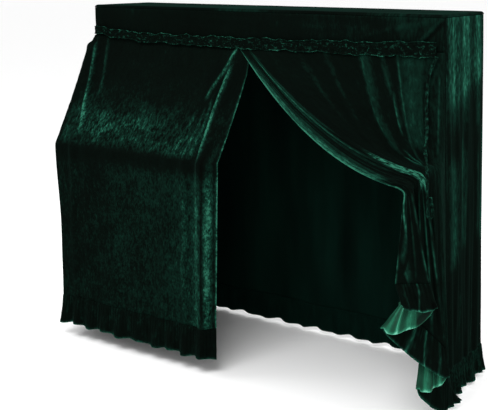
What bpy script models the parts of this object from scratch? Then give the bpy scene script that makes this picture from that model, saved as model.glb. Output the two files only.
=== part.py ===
"""Fitted velvet cover for an upright piano, hung as it is in use.

The left curtain is stretched over the keyboard shelf, and the right one is
drawn aside in a swag and tied at the right cheek.  Metres, +Z up, +X to the
player's right hand, +Y towards the wall.

Shapes are worked out in room coordinates: x from the middle of the case,
y back from the case's front, z up from the floor.  An empty then puts the
model's origin at the underside of the top panel, where the cover bears on
the piano.
"""
from math import asin, atan2, cos, exp, pi, sin, tan

import bmesh
import bpy
from mathutils import Vector

# ---------------------------------------------------------------- sizes
CLOTH = 0.0024            # thickness of the velvet
SEAM_GAP = 0.0008         # parting between two pieces at a straight seam
FRILL_GAP = 0.0025        # parting between a draped curtain and its frill

COVER_WIDTH = 1.53        # left end to right end of the case
COVER_DEPTH = 0.33        # case front to case back
COVER_HEIGHT = 1.323      # floor to the top of the cover
HALF = COVER_WIDTH / 2
TURN_DOWN = 0.008         # the top panel's edges bend down with this radius
CORNER_WRAP = 0.007       # front pieces turn this far round the case's corners
SLANTED_WRAP = 0.006      # the same where a curtain's end meets its seam at a slant
CORNER_RADIUS = 0.009

SHELF_REACH = 0.25        # keyboard shelf, in front of the case
SHELF_HEIGHT = 0.79
SHELF_RADIUS = 0.014
SLOPE_SAG = 0.010         # hollow of the left curtain between band and shelf

BAND_BOTTOM = 1.2045      # seam of the band and the curtains, under the trim
CURTAIN_TOP = BAND_BOTTOM - SEAM_GAP
TRIM_FOOT = 1.178         # the curtains hang straight down to here, behind the trim

SIDE_SEAM = 0.115         # height of the flounce seams on sides and back
SIDE_HEM = 0.015
LEFT_SEAM = 0.175         # the left curtain is shortened by the shelf
LEFT_HEM = 0.060

# How far the panels stand out at floor level.
FRONT_FLARE_RIGHT = 0.058
FRONT_FLARE_LEFT = 0.014
REAR_FLARE = 0.041
REAR_SWELL = 0.012        # how far the rear corners belly out half way down
LEFT_END_SWELL = 0.030    # how far the left curtain's end bellies out under the trim

GREEN = (0.012, 0.075, 0.055)

# Upper and lower edge of the ruched trim.
# x from the middle, height of the upper edge, height of the lower edge
TRIM_EDGES = (
    (-0.757, 1.236, 1.211),
    (-0.620, 1.228, 1.195),
    (-0.480, 1.222, 1.186),
    (-0.080, 1.221, 1.182),
    (0.350, 1.228, 1.184),
    (0.750, 1.238, 1.186),
)

# Soft folds of the left curtain's front.
# x at the heading, x at the shelf, x at the hem, half width,
# height at the heading, height at the shelf, height at the hem
LEFT_FOLDS = (
    (-0.735, -0.668, -0.665, 0.018, 0.004, 0.011, 0.006),
    (-0.700, -0.600, -0.590, 0.022, 0.002, 0.007, 0.005),
    (-0.560, -0.470, -0.470, 0.045, 0.000, 0.003, 0.010),
    (-0.360, -0.330, -0.340, 0.045, 0.000, 0.003, 0.009),
    (-0.100, -0.190, -0.215, 0.026, 0.000, 0.009, 0.008),
    (-0.080, -0.105, -0.110, 0.020, 0.000, 0.012, 0.006),
    (-0.058, -0.030, -0.022, 0.021, 0.000, 0.024, 0.018),
)
EDGE_TURN_BACK = 0.030    # how far the hem edge falls behind the last fold

# Soft folds of the side panels.
# share of the depth, half width, height at the top, height at the hem
SIDE_FOLDS = (
    (0.14, 0.020, 0.001, 0.009),
    (0.38, 0.024, 0.002, 0.010),
    (0.60, 0.020, 0.001, 0.008),
    (0.84, 0.022, 0.002, 0.010),
)

# Fold points of the right curtain, from its leading edge to the side seam.
# Odd points are outer folds, even points inner ones; the last two are the
# flat stretch along the cheek and the side seam.
# heading (x, y), power of the swag's curve, waist, flounce seam, hem
RIGHT_FOLDS = (
    ((-0.062, -0.004), 2.0, (0.777, -0.262, 0.797), (0.765, -0.282, 0.496),
     (0.796, -0.290, 0.431)),
    ((-0.048, -0.004), 1.9, (0.797, -0.252, 0.811), (0.852, -0.205, 0.495),
     (0.879, -0.205, 0.418)),
    ((-0.038, -0.004), 1.9, (0.786, -0.214, 0.818), (0.758, -0.235, 0.412),
     (0.735, -0.318, 0.354)),
    ((-0.022, -0.004), 1.85, (0.812, -0.190, 0.842), (0.880, -0.125, 0.259),
     (0.899, -0.135, 0.167)),
    ((0.430, -0.004), 3.0, (0.794, -0.144, 0.842), (0.804, -0.165, 0.248),
     (0.821, -0.222, 0.136)),
    ((HALF, -0.004), 3.0, (0.808, -0.075, 0.850), (0.861, -0.060, 0.172),
     (0.878, -0.085, 0.034)),
    ((HALF, SLANTED_WRAP), 3.0, (0.788, SLANTED_WRAP, 0.850),
     (0.818, SLANTED_WRAP, SIDE_SEAM), (0.870, 0.040, 0.016)),
)
FRILL_SAGS = (0.015, 0.042, 0.025, 0.025, 0.035, 0)   # how far each layer's hem hangs in a curve
FOLD_RADIUS = 0.005
FOLD_RADIUS_AT_HEM = 0.007
TRIM_HOLD = 0.035         # share of the swag over which the trim holds it upright
WAIST_BEND = 0.06         # share of the swag over which it turns down at the shelf

# Soft folds that run down from the heading of the right curtain.
# number of the layer, place across it, half width as a share, height
RIGHT_SOFT_FOLDS = (
    (3, 0.30, 0.10, 0.006),
    (3, 0.72, 0.10, 0.008),
    (4, 0.18, 0.09, 0.012),
    (4, 0.50, 0.08, 0.010),
    (4, 0.78, 0.07, 0.010),
)

# Soft folds of the tail below the waist, in the same columns.
TAIL_SOFT_FOLDS = (
    (0, 0.32, 0.14, 0.008),
    (2, 0.45, 0.12, 0.010),
    (4, 0.55, 0.12, 0.010),
)

# Route of the tie from the band's right end to the foot of its free loop.
TIE_ROUTE = (
    (0.757, -0.021, 1.191),
    (0.738, -0.022, 1.148),
    (0.731, -0.026, 1.105),
    (0.733, -0.034, 1.051),
    (0.739, -0.042, 1.003),
    (0.749, -0.057, 0.940),
    (0.752, -0.070, 0.897),
    (0.766, -0.094, 0.874),
    (0.792, -0.140, 0.864),
    (0.814, -0.184, 0.858),
    (0.827, -0.205, 0.836),
    (0.829, -0.206, 0.785),
    (0.829, -0.206, 0.715),
)
TIE_WIDTH = 0.012
TIE_THICKNESS = 0.003
TIE_FACING = (0.66, -0.75, 0)   # the way its flat side looks
TIE_SAMPLES = 40
TIE_LOOP_RADIUS = 0.010
TIE_LOOP_LENGTH = 0.055
TIE_LOOP_CLOSING = 0.009  # how far the loop's end leans back to the strap
TIE_TWIST = 0.8           # turn of the strap in the loop, in radians


# ------------------------------------------------------------ small maths
def mix(a, b, t):
    return a + (b - a) * t


def ease(t):
    t = min(max(t, 0.0), 1.0)
    return t * t * (3 - 2 * t)


def hump(distance, half_width):
    return exp(-(distance / half_width) ** 2)


def three_way(top, middle, bottom, z, z_top, z_middle, z_bottom):
    """Value at height z of a line drawn through three named heights."""
    if z >= z_middle:
        return mix(top, middle, (z_top - z) / (z_top - z_middle))
    return mix(middle, bottom, (z_middle - z) / (z_middle - z_bottom))


def along_table(x, table, column):
    """Value of a column at x, smoothly between the table's rows."""
    for low, high in zip(table, table[1:]):
        if x <= high[0]:
            return mix(low[column], high[column], ease((x - low[0]) / (high[0] - low[0])))
    return table[-1][column]


def rounded(points, radius, steps, corner_steps=3):
    """Line through the points with rounded corners, as evenly counted samples.

    steps gives the number of samples on each straight stretch.
    """
    points = [Vector(p) for p in points]
    corners = []
    for before, here, after in zip(points, points[1:], points[2:]):
        to_before, to_after = before - here, after - here
        room = 0.45 * min(to_before.length, to_after.length)
        half_angle = max(to_before.angle(to_after, pi) / 2, 0.05)
        length = min(max(radius / tan(half_angle), 0.3 * radius), room)
        turn = max(pi - 2 * half_angle, 0.01)
        handle = 1 - (4 / 3) * tan(turn / 4) / tan(turn / 2)
        start = here + to_before.normalized() * length
        end = here + to_after.normalized() * length
        corners.append((start, mix(here, start, handle), mix(here, end, handle), end))
    line = [points[0]]
    for number, count in enumerate(steps):
        begin = points[0] if number == 0 else corners[number - 1][3]
        finish = points[-1] if number == len(corners) else corners[number][0]
        line += [mix(begin, finish, (i + 1) / count) for i in range(count)]
        if number < len(corners):
            a, b, c, d = corners[number]
            for i in range(1, corner_steps + 1):
                t = i / corner_steps
                line.append(a * (1 - t) ** 3 + b * (3 * t * (1 - t) ** 2)
                            + c * (3 * t * t * (1 - t)) + d * t ** 3)
    return line


def pleated(points, radius, steps, corner_steps=3, margin=0.003):
    """Line that runs to and fro between fold points and turns round each one.

    Each fold is a loop of the given radius in plan, however close its two
    layers lie, and it opens out to nothing where the layers lie straight.
    """
    points = [Vector(p) for p in points]
    flat = [Vector((p.x, p.y)) for p in points]
    centres, offsets = [flat[0]], [0.0]
    for before, here, after in zip(flat, flat[1:], flat[2:]):
        inward = (before - here).normalized() + (after - here).normalized()
        sharpness = inward.length / 2
        size = radius * sharpness ** 2
        centres.append(here + (inward.normalized() * size if sharpness > 1e-6 else inward))
        turns_left = (here - before).cross(after - here) > 0
        offsets.append(-size if turns_left else size)
    centres.append(flat[-1])
    offsets.append(0.0)
    legs = []
    for number in range(len(flat) - 1):
        gap = centres[number + 1] - centres[number]
        angle = atan2(gap.y, gap.x) - asin((offsets[number] - offsets[number + 1]) / gap.length)
        along, left = Vector((cos(angle), sin(angle))), Vector((-sin(angle), cos(angle)))
        legs.append((centres[number] + left * offsets[number],
                     centres[number + 1] + left * offsets[number + 1], along))
    line, last = [], len(legs) - 1
    for number, (begin, finish, along) in enumerate(legs):
        length = (finish - begin).length
        inset = min(margin, 0.3 * length)
        begin = begin + along * (inset if number else 0)
        finish = finish - along * (inset if number < last else 0)
        z_begin = mix(points[number].z, points[number + 1].z, inset / length if number else 0)
        z_finish = mix(points[number + 1].z, points[number].z, inset / length if number < last else 0)
        if number:
            start, z_start, before = line[-1].xy, line[-1].z, legs[number - 1][2]
            turn = before.angle(along, 0)
            handle = (4 / 3) * tan(turn / 4) * abs(offsets[number]) + (2 / 3) * inset
            for i in range(1, corner_steps + 1):
                t = i / corner_steps
                place = (start * (1 - t) ** 3 + (start + before * handle) * (3 * t * (1 - t) ** 2)
                         + (begin - along * handle) * (3 * t * t * (1 - t)) + begin * t ** 3)
                line.append(Vector((*place, mix(z_start, z_begin, t))))
        else:
            line.append(Vector((*begin, z_begin)))
        for i in range(1, steps[number] + 1):
            t = i / steps[number]
            line.append(Vector((*mix(begin, finish, t), mix(z_begin, z_finish, t))))
    return line


def spread(line, counts):
    """Samples of a polyline, evenly spaced along it."""
    lengths = [0.0]
    for a, b in zip(line, line[1:]):
        lengths.append(lengths[-1] + (b - a).length)
    result, place = [], 0
    for i in range(counts + 1):
        target = lengths[-1] * i / counts
        while place < len(line) - 2 and lengths[place + 1] < target:
            place += 1
        span = max(lengths[place + 1] - lengths[place], 1e-9)
        result.append(mix(line[place], line[place + 1], (target - lengths[place]) / span))
    return result


# ------------------------------------------------------------- the makers
def velvet(name, colour):
    material = bpy.data.materials.new(name)
    material.use_nodes = True
    shader = material.node_tree.nodes["Principled BSDF"]
    shader.inputs["Base Color"].default_value = (*colour, 1)
    shader.inputs["Roughness"].default_value = 0.75
    shader.inputs["Metallic"].default_value = 0.0
    return material


def cloth(name, rows, thickness=CLOTH):
    """A sheet through rows of points, given its thickness by Solidify."""
    across, down = len(rows[0]) - 1, len(rows) - 1
    mesh = bpy.data.meshes.new(name)
    grid = bmesh.new()
    bmesh.ops.create_grid(grid, x_segments=across, y_segments=down, size=0.5)
    for vertex in grid.verts:
        column = round((vertex.co.x + 0.5) * across)
        row = round((0.5 - vertex.co.y) * down)
        vertex.co = rows[row][column]
    grid.to_mesh(mesh)
    grid.free()
    piece = bpy.data.objects.new(name, mesh)
    piece.data.materials.append(velvet(name, GREEN))
    skin = piece.modifiers.new("thickness", "SOLIDIFY")
    skin.thickness = thickness
    skin.offset = 0
    skin.use_even_offset = True
    piece.parent = room
    collection.objects.link(piece)
    mesh.shade_smooth()
    return piece


# ------------------------------------------------------------ case panels
def bent_edges(low, high, count):
    """Places and drops across a panel whose two edges turn down in an arc."""
    arc = [(TURN_DOWN * (1 - cos(turn)), TURN_DOWN * (1 - sin(turn)))
           for turn in (0, pi / 6, pi / 3, pi / 2)]
    flat_low, flat_high = low + TURN_DOWN, high - TURN_DOWN
    middle = [(mix(flat_low, flat_high, i / count), 0) for i in range(1, count)]
    return ([(low + inset, drop) for inset, drop in arc] + middle
            + [(high - inset, drop) for inset, drop in reversed(arc)])


def top_panel():
    """Flat over the top, its four edges bent down to the seam."""
    lengthwise = bent_edges(-HALF, HALF, 8)
    crosswise = bent_edges(0, COVER_DEPTH, 3)
    cloth("top_panel", [[Vector((x, y, COVER_HEIGHT - max(drop_x, drop_y)))
                         for x, drop_x in lengthwise] for y, drop_y in reversed(crosswise)])


def front_band():
    """Plain band under the top's front edge, turned round both corners."""
    corner = (HALF, 0)
    plan = rounded(((-HALF, CORNER_WRAP, 0), (-corner[0], corner[1], 0), (*corner, 0),
                    (HALF, CORNER_WRAP, 0)), CORNER_RADIUS, (1, 20, 1))
    top = COVER_HEIGHT - TURN_DOWN - SEAM_GAP
    rows = []
    for t in (0, 0.33, 0.67, 1):
        swell = 0.003 * sin(pi * t)
        rows.append([Vector((p.x, p.y - swell * sin(9 * p.x + 1) * ease((HALF - abs(p.x)) / 0.1),
                             mix(top, BAND_BOTTOM, t))) for p in plan])
    cloth("front_band", rows)


def front_seam_x(side, z):
    """How far out the seam of a side panel and its curtain hangs at height z."""
    drop = (COVER_HEIGHT - z) / COVER_HEIGHT
    return HALF + (FRONT_FLARE_RIGHT if side > 0 else FRONT_FLARE_LEFT) * drop ** 0.9


def side_line(side, z):
    """Plan of a side panel at height z, as three points."""
    drop = (COVER_HEIGHT - z) / COVER_HEIGHT
    front = front_seam_x(side, z)
    rear = HALF + REAR_FLARE * drop ** 2 + REAR_SWELL * sin(pi * drop ** 0.8)
    back = COVER_DEPTH + 0.85 * REAR_FLARE * drop ** 2
    return ((side * front, CORNER_WRAP + SEAM_GAP, z), (side * rear, back, z),
            (side * (rear - 2 * CORNER_RADIUS), back, z))


def side_panel(name, side):
    top = COVER_HEIGHT - TURN_DOWN - SEAM_GAP
    rows = []
    for number in range(9):
        z = mix(top, SIDE_SEAM, number / 8)
        line = rounded(side_line(side, z), CORNER_RADIUS, (12, 1))
        drop = (top - z) / (top - SIDE_SEAM)
        row = []
        for p in line:
            share = p.y / COVER_DEPTH
            push = sum(mix(high, low, drop) * hump(share - place, width / COVER_DEPTH)
                       for place, width, high, low in SIDE_FOLDS)
            push *= ease(share / 0.1) * ease((1 - share) / 0.1)
            row.append(p + Vector((side * push, 0, 0)))
        rows.append(row)
    cloth(name, rows)


def back_panel():
    top = COVER_HEIGHT - TURN_DOWN - SEAM_GAP
    rows = []
    for number in range(7):
        z = mix(top, SIDE_SEAM, number / 6)
        end = side_line(1, z)[2]
        edge = end[0] - SEAM_GAP
        drop = (top - z) / (top - SIDE_SEAM)
        rows.append([Vector((mix(edge, -edge, i / 18),
                             end[1] + 0.008 * drop * sin(pi * i / 18) * sin(2 * pi * i / 4.5), z))
                     for i in range(19)])
    cloth("back_panel", rows)


# ---------------------------------------------------------- left curtain
def left_edge_x(z):
    """Where the left curtain's opening edge hangs."""
    return three_way(0.002, 0.021, 0.014, z, CURTAIN_TOP, SHELF_HEIGHT, LEFT_SEAM)


def left_push(x, z):
    """How far the folds stand in front of the stretched cloth."""
    push = 0
    for x_top, x_shelf, x_hem, width, at_top, at_shelf, at_hem in LEFT_FOLDS:
        place = three_way(x_top, x_shelf, x_hem, z, CURTAIN_TOP, SHELF_HEIGHT, LEFT_SEAM)
        height = three_way(at_top, at_shelf, at_hem, z, CURTAIN_TOP, SHELF_HEIGHT, LEFT_SEAM)
        push += height * hump(x - place, width)
    edge = left_edge_x(z)
    turned = EDGE_TURN_BACK * ease((CURTAIN_TOP - z) / 0.12) * ease((x - place) / (edge - place))
    return push - turned


def left_plan(reach, z, front_steps=26):
    """Plan of the left curtain where it stands `reach` in front of the case."""
    narrowing = 0.022 * ease((SHELF_HEIGHT - z) / 0.35)
    seam_x = front_seam_x(-1, z)
    corner_x = HALF + 0.004 - narrowing
    line = rounded(((-seam_x, CORNER_WRAP, z), (-corner_x, -reach, z),
                    (left_edge_x(z), -reach, z)), 0.012, (4, 1))
    cheek = line[:8]
    begin, end = line[7], line[8]
    front = []
    for i in range(1, front_steps + 1):
        s = i / front_steps
        s -= 0.62 * sin(2 * pi * s) / (2 * pi)
        front.append(mix(begin, end, s))
    return cheek + front


def with_end_swell(row, z):
    """The row with its left end's belly below the trim added."""
    height = min(max((z - SHELF_HEIGHT) / (TRIM_FOOT - SHELF_HEIGHT), 0), 1)
    size = LEFT_END_SWELL * height * ease((TRIM_FOOT + 0.010 - z) / 0.03)
    result = []
    for i, p in enumerate(row):
        along = (row[min(i + 1, len(row) - 1)] - row[max(i - 1, 0)]).normalized()
        outward = Vector((along.y, -along.x, 0)).normalized()
        share = hump(max(p.x + HALF, 0), 0.045) * ease((p - row[0]).length / 0.05)
        result.append(p + outward * size * share)
    return result


def left_rows():
    """Rows of the left curtain from its heading to the flounce seam."""
    profile = rounded(((0, 0, CURTAIN_TOP), (-0.001, 0, TRIM_FOOT), (-SHELF_REACH, 0, SHELF_HEIGHT),
                       (-SHELF_REACH - 0.004, 0, LEFT_SEAM)), SHELF_RADIUS, (1, 7, 5), 2)
    rows = []
    for mark in profile:
        z = mark.z
        above = (TRIM_FOOT - z) / (TRIM_FOOT - SHELF_HEIGHT)
        sag = SLOPE_SAG * sin(pi * above) if 0 < above < 1 else 0
        row = []
        for p in left_plan(-mark.x - sag, z):
            fade = ease((p.x + HALF) / 0.03)
            row.append(p + Vector((0, -fade * left_push(p.x, z), 0)))
        rows.append(with_end_swell(row, z))
    return rows


# --------------------------------------------------------- right curtain
def right_fold_points(q):
    """Fold points at q: 0 is the heading, 1 the waist, 2 the flounce seam."""
    def place(fold, q):
        heading, power, waist, seam, _ = fold
        if q <= 1:
            drop = 1 - (1 - q) ** power
            forward = q - TRIM_HOLD * (1 - q) * (1 - exp(-q / TRIM_HOLD))
            return Vector((mix(heading[0], waist[0], q), mix(heading[1], waist[1], forward),
                           mix(CURTAIN_TOP, waist[2], drop)))
        return Vector(waist).lerp(Vector(seam), q - 1)
    bend = WAIST_BEND
    points = []
    for fold in RIGHT_FOLDS:
        if abs(q - 1) < bend:
            t = (q - 1 + bend) / (2 * bend)
            low, here, high = place(fold, 1 - bend), Vector(fold[2]), place(fold, 1 + bend)
            points.append(low * (1 - t) ** 2 + here * (2 * t * (1 - t)) + high * t ** 2)
        else:
            points.append(place(fold, q))
    points[-1].x = front_seam_x(1, points[-1].z)
    return points


RIGHT_STEPS = (6, 4, 6, 8, 9, 2)
RIGHT_STATIONS = (0, 0.025, 0.1, 0.2, 0.31, 0.42, 0.53, 0.64, 0.75, 0.85, 0.94, 0.98, 1.02,
                  1.06, 1.25, 1.5, 1.75, 2)


def right_rows():
    """Rows of the right curtain from its heading to the flounce seam."""
    rows = []
    for q in RIGHT_STATIONS:
        line = pleated(right_fold_points(q), FOLD_RADIUS, RIGHT_STEPS)
        starts, place = [], 0
        for count in RIGHT_STEPS:
            starts.append(place)
            place += count + 3
        strength = sin(pi * (q % 1)) ** 0.6
        row = []
        for number, p in enumerate(line):
            push = 0
            for layer, share, width, height in RIGHT_SOFT_FOLDS if q < 1 else TAIL_SOFT_FOLDS:
                across = (number - starts[layer]) / RIGHT_STEPS[layer]
                push += height * hump(across - share, width)
            row.append(p + Vector((0.5 * push, -0.85 * push, 0)) * strength)
        rows.append(row)
    return rows


# --------------------------------------------------------------- flounces
def flounce(name, seam_line, hem_line, waves, depth, rows=3, per_wave=5):
    """A gathered frill between a seam line and a hem line.

    Its waves grow from the seam to the hem and are a little uneven.
    """
    count = round(waves * per_wave)
    seam, hem = spread(seam_line, count), spread(hem_line, count)
    result = []
    for level in range(rows + 1):
        t = level / rows
        middle = [mix(a, b, t) for a, b in zip(seam, hem)]
        row = []
        for i, p in enumerate(middle):
            s = i / count
            along = (middle[min(i + 1, count)] - middle[max(i - 1, 0)]).normalized()
            outward = Vector((along.y, -along.x, 0)).normalized()
            turn = 2 * pi * waves * s + 0.9 * sin(2 * pi * 2.3 * s + 1)
            size = mix(0.12, 1, t) * depth * (0.8 + 0.2 * sin(2 * pi * 3.7 * s + 2))
            ends = ease(s / 0.03) * ease((1 - s) / 0.03)
            row.append(p + outward * size * sin(turn) * ends
                       + Vector((0, 0, 0.004 * t * sin(0.5 * turn + 1))))
        result.append(row)
    cloth(name, result)


def lowered(line, z, out=0.0):
    """The same plan line at height z, moved outwards by out."""
    result = []
    for i, p in enumerate(line):
        along = (line[min(i + 1, len(line) - 1)] - line[max(i - 1, 0)]).normalized()
        outward = Vector((along.y, -along.x, 0)).normalized()
        result.append(Vector((p.x, p.y, z)) + outward * out)
    return result


def side_flounces():
    for name, side in (("flounce_side_right", 1), ("flounce_side_left", -1)):
        line = rounded(side_line(side, SIDE_SEAM), CORNER_RADIUS, (12, 1))
        if side < 0:
            line = line[::-1]
        flounce(name, lowered(line, SIDE_SEAM - SEAM_GAP), lowered(line, SIDE_HEM, 0.014), 5.5, 0.011)
    end = side_line(1, SIDE_SEAM)[2]
    edge = end[0] - SEAM_GAP
    back = [Vector((mix(edge, -edge, i / 10), end[1], 0)) for i in range(11)]
    flounce("flounce_back", lowered(back, SIDE_SEAM - SEAM_GAP), lowered(back, SIDE_HEM, 0.006),
            18, 0.012, rows=2, per_wave=4)


def left_flounce():
    line = left_plan(SHELF_REACH + 0.004, LEFT_SEAM)
    line = [p + Vector((0, -ease((p.x + HALF) / 0.03) * left_push(p.x, LEFT_SEAM), 0)) for p in line]
    flounce("flounce_left_curtain", lowered(line, LEFT_SEAM - FRILL_GAP),
            lowered(line, LEFT_HEM, 0.008), 13, 0.012)


def right_flounce():
    """The frill of the right curtain, which falls in a cascade of its folds."""
    steps = (9, 8, 8, 8, 8, 5)
    seam_points = [p - Vector((0, 0, FRILL_GAP)) for p in right_fold_points(2)]
    hem_points = [Vector(fold[4]) for fold in RIGHT_FOLDS]
    rows = []
    levels = 4
    for level in range(levels + 1):
        t = level / levels
        points = [mix(a, b, t) for a, b in zip(seam_points, hem_points)]
        points[-1].y = mix(SLANTED_WRAP - FRILL_GAP, hem_points[-1].y, t ** 3)
        line = pleated(points, mix(FOLD_RADIUS, FOLD_RADIUS_AT_HEM, t), steps)
        ripples, sags = [0], [0]
        for number, count in enumerate(steps):
            shares = [(i + 1) / count for i in range(count)]
            ripples += [0.008 * t * sin(4 * pi * share + number) * sin(pi * share) for share in shares]
            sags += [FRILL_SAGS[number] * t * t * abs(sin(pi * share)) ** 0.4 for share in shares]
            if number < len(steps) - 1:
                ripples += [0, 0, 0]
                sags += [0, 0, 0]
        row = []
        for i, p in enumerate(line):
            along = (line[min(i + 1, len(line) - 1)] - line[max(i - 1, 0)]).normalized()
            outward = Vector((along.y, -along.x, 0)).normalized()
            row.append(p + outward * ripples[i] - Vector((0, 0, sags[i])))
        rows.append(row)
    cloth("flounce_right_curtain", rows)


# ------------------------------------------------------------------- trim
def ruched_trim():
    """Shirred strip whose two edges stand out in small uneven ruffles."""
    columns, standing = 88, 0.0125
    rows = []
    for level in (0, 0.3, 0.7, 1):
        row = []
        for i in range(columns + 1):
            x = mix(TRIM_EDGES[0][0], TRIM_EDGES[-1][0], i / columns)
            upper = along_table(x, TRIM_EDGES, 1)
            lower = along_table(x, TRIM_EDGES, 2)
            edge = abs(2 * level - 1)
            ruffle = (-1) ** i * (0.7 + 0.3 * sin(1.9 * i)) * mix(0.0008, 0.0026, edge)
            wander = 0.0018 * sin(2.7 * i + 5 * level)
            row.append(Vector((x, -standing + ruffle, mix(upper, lower, level) + wander)))
        rows.append(row)
    cloth("ruched_trim", rows, 0.0016)


# -------------------------------------------------------------------- tie
def tie_strap():
    """Narrow scalloped strap along its route, ending in a loop that hangs open."""
    facing, up = Vector(TIE_FACING).normalized(), Vector((0, 0, 1))
    aside = up.cross(facing)
    line = spread(rounded(TIE_ROUTE, 0.03, (1,) * (len(TIE_ROUTE) - 1)), TIE_SAMPLES)
    centre = line[-1] + aside * TIE_LOOP_RADIUS
    for i in range(1, 8):
        turn = pi * i / 7
        line.append(centre - (aside * cos(turn) + up * sin(turn)) * TIE_LOOP_RADIUS)
    line += [line[-1] + up * TIE_LOOP_LENGTH * i / 6 - aside * TIE_LOOP_CLOSING * ease(i / 6)
             for i in range(1, 7)]
    rows = []
    for i, p in enumerate(line):
        along = (line[min(i + 1, len(line) - 1)] - line[max(i - 1, 0)]).normalized()
        twist = TIE_TWIST * ease((i - TIE_SAMPLES + 10) / 8)
        across = along.cross(facing).normalized() * cos(twist) + facing * sin(twist)
        half = TIE_WIDTH / 2 * (1 + 0.16 * (-1) ** i)
        rows.append([p - across * half, p, p + across * half])
    cloth("tie_strap", rows, TIE_THICKNESS)


# ------------------------------------------------------------------ build
for old in list(bpy.data.objects):
    bpy.data.objects.remove(old, do_unlink=True)

collection = bpy.data.collections.new("piano_cover")
bpy.context.scene.collection.children.link(collection)

piano_top = bpy.data.objects.new("piano_top", None)
collection.objects.link(piano_top)
room = bpy.data.objects.new("floor_under_case_front", None)
room.location = (0, -COVER_DEPTH / 2, -(COVER_HEIGHT - CLOTH / 2))
room.parent = piano_top
collection.objects.link(room)

top_panel()
front_band()
side_panel("side_panel_right", 1)
side_panel("side_panel_left", -1)
back_panel()
cloth("left_curtain", left_rows())
cloth("right_curtain", right_rows())
side_flounces()
left_flounce()
right_flounce()
ruched_trim()
tie_strap()
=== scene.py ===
"""Visual model of a fitted velvet cover for an upright piano.

Every sheet lies on the main folds of its solid, and carries the finer folds,
gathers, creases and hems.  Shapes are worked out in room coordinates: x from
the middle of the case, y back from the case's front, z up from the floor.
"""
from math import asin, atan2, cos, exp, pi, radians, sin, tan

import bpy
import numpy as np
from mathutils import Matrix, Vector, noise


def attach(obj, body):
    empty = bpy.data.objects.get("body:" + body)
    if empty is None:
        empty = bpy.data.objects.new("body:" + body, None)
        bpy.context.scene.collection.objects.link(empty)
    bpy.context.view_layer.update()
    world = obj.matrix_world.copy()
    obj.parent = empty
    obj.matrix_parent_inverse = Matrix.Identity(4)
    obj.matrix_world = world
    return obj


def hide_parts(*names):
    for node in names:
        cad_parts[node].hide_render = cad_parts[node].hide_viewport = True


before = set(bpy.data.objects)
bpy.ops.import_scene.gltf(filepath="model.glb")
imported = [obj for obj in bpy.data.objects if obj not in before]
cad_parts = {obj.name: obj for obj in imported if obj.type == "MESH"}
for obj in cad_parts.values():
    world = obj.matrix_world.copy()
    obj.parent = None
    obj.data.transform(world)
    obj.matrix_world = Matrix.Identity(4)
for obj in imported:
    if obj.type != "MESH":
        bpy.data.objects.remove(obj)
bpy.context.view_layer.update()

# ---------------------------------------------------------------- sizes
CLOTH = 0.0024            # thickness of the velvet
SEAM_GAP = 0.0008         # parting between two pieces at a straight seam
FRILL_GAP = 0.0025        # parting between a draped curtain and its frill

COVER_WIDTH = 1.53        # left end to right end of the case
COVER_DEPTH = 0.33        # case front to case back
COVER_HEIGHT = 1.323      # floor to the top of the cover
HALF = COVER_WIDTH / 2
TURN_DOWN = 0.008         # the top panel's edges bend down with this radius
CORNER_WRAP = 0.007       # front pieces turn this far round the case's corners
SLANTED_WRAP = 0.006      # the same where a curtain's end meets its seam at a slant
CORNER_RADIUS = 0.009

SHELF_REACH = 0.25        # keyboard shelf, in front of the case
SHELF_HEIGHT = 0.79
SHELF_RADIUS = 0.014
SLOPE_SAG = 0.010         # hollow of the left curtain between band and shelf

BAND_BOTTOM = 1.2045      # seam of the band and the curtains, under the trim
CURTAIN_TOP = BAND_BOTTOM - SEAM_GAP
TRIM_FOOT = 1.178         # the curtains hang straight down to here, behind the trim

SIDE_SEAM = 0.115         # height of the flounce seams on sides and back
SIDE_HEM = 0.015
LEFT_SEAM = 0.175         # the left curtain is shortened by the shelf
LEFT_HEM = 0.060

# How far the panels stand out at floor level.
FRONT_FLARE_RIGHT = 0.058
FRONT_FLARE_LEFT = 0.014
REAR_FLARE = 0.041
REAR_SWELL = 0.012        # how far the rear corners belly out half way down
LEFT_END_SWELL = 0.030    # how far the left curtain's end bellies out under the trim

# Upper and lower edge of the ruched trim.
# x from the middle, height of the upper edge, height of the lower edge
TRIM_EDGES = (
    (-0.757, 1.236, 1.211),
    (-0.620, 1.228, 1.195),
    (-0.480, 1.222, 1.186),
    (-0.080, 1.221, 1.182),
    (0.350, 1.228, 1.184),
    (0.750, 1.238, 1.186),
)

# Soft folds of the left curtain's front.
# x at the heading, x at the shelf, x at the hem, half width,
# height at the heading, height at the shelf, height at the hem
LEFT_FOLDS = (
    (-0.735, -0.668, -0.665, 0.018, 0.004, 0.011, 0.006),
    (-0.700, -0.600, -0.590, 0.022, 0.002, 0.007, 0.005),
    (-0.560, -0.470, -0.470, 0.045, 0.000, 0.003, 0.010),
    (-0.360, -0.330, -0.340, 0.045, 0.000, 0.003, 0.009),
    (-0.100, -0.190, -0.215, 0.026, 0.000, 0.009, 0.008),
    (-0.080, -0.105, -0.110, 0.020, 0.000, 0.012, 0.006),
    (-0.058, -0.030, -0.022, 0.021, 0.000, 0.024, 0.018),
)
EDGE_TURN_BACK = 0.030    # how far the hem edge falls behind the last fold

# Soft folds of the side panels.
# share of the depth, half width, height at the top, height at the hem
SIDE_FOLDS = (
    (0.14, 0.020, 0.001, 0.009),
    (0.38, 0.024, 0.002, 0.010),
    (0.60, 0.020, 0.001, 0.008),
    (0.84, 0.022, 0.002, 0.010),
)

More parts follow.
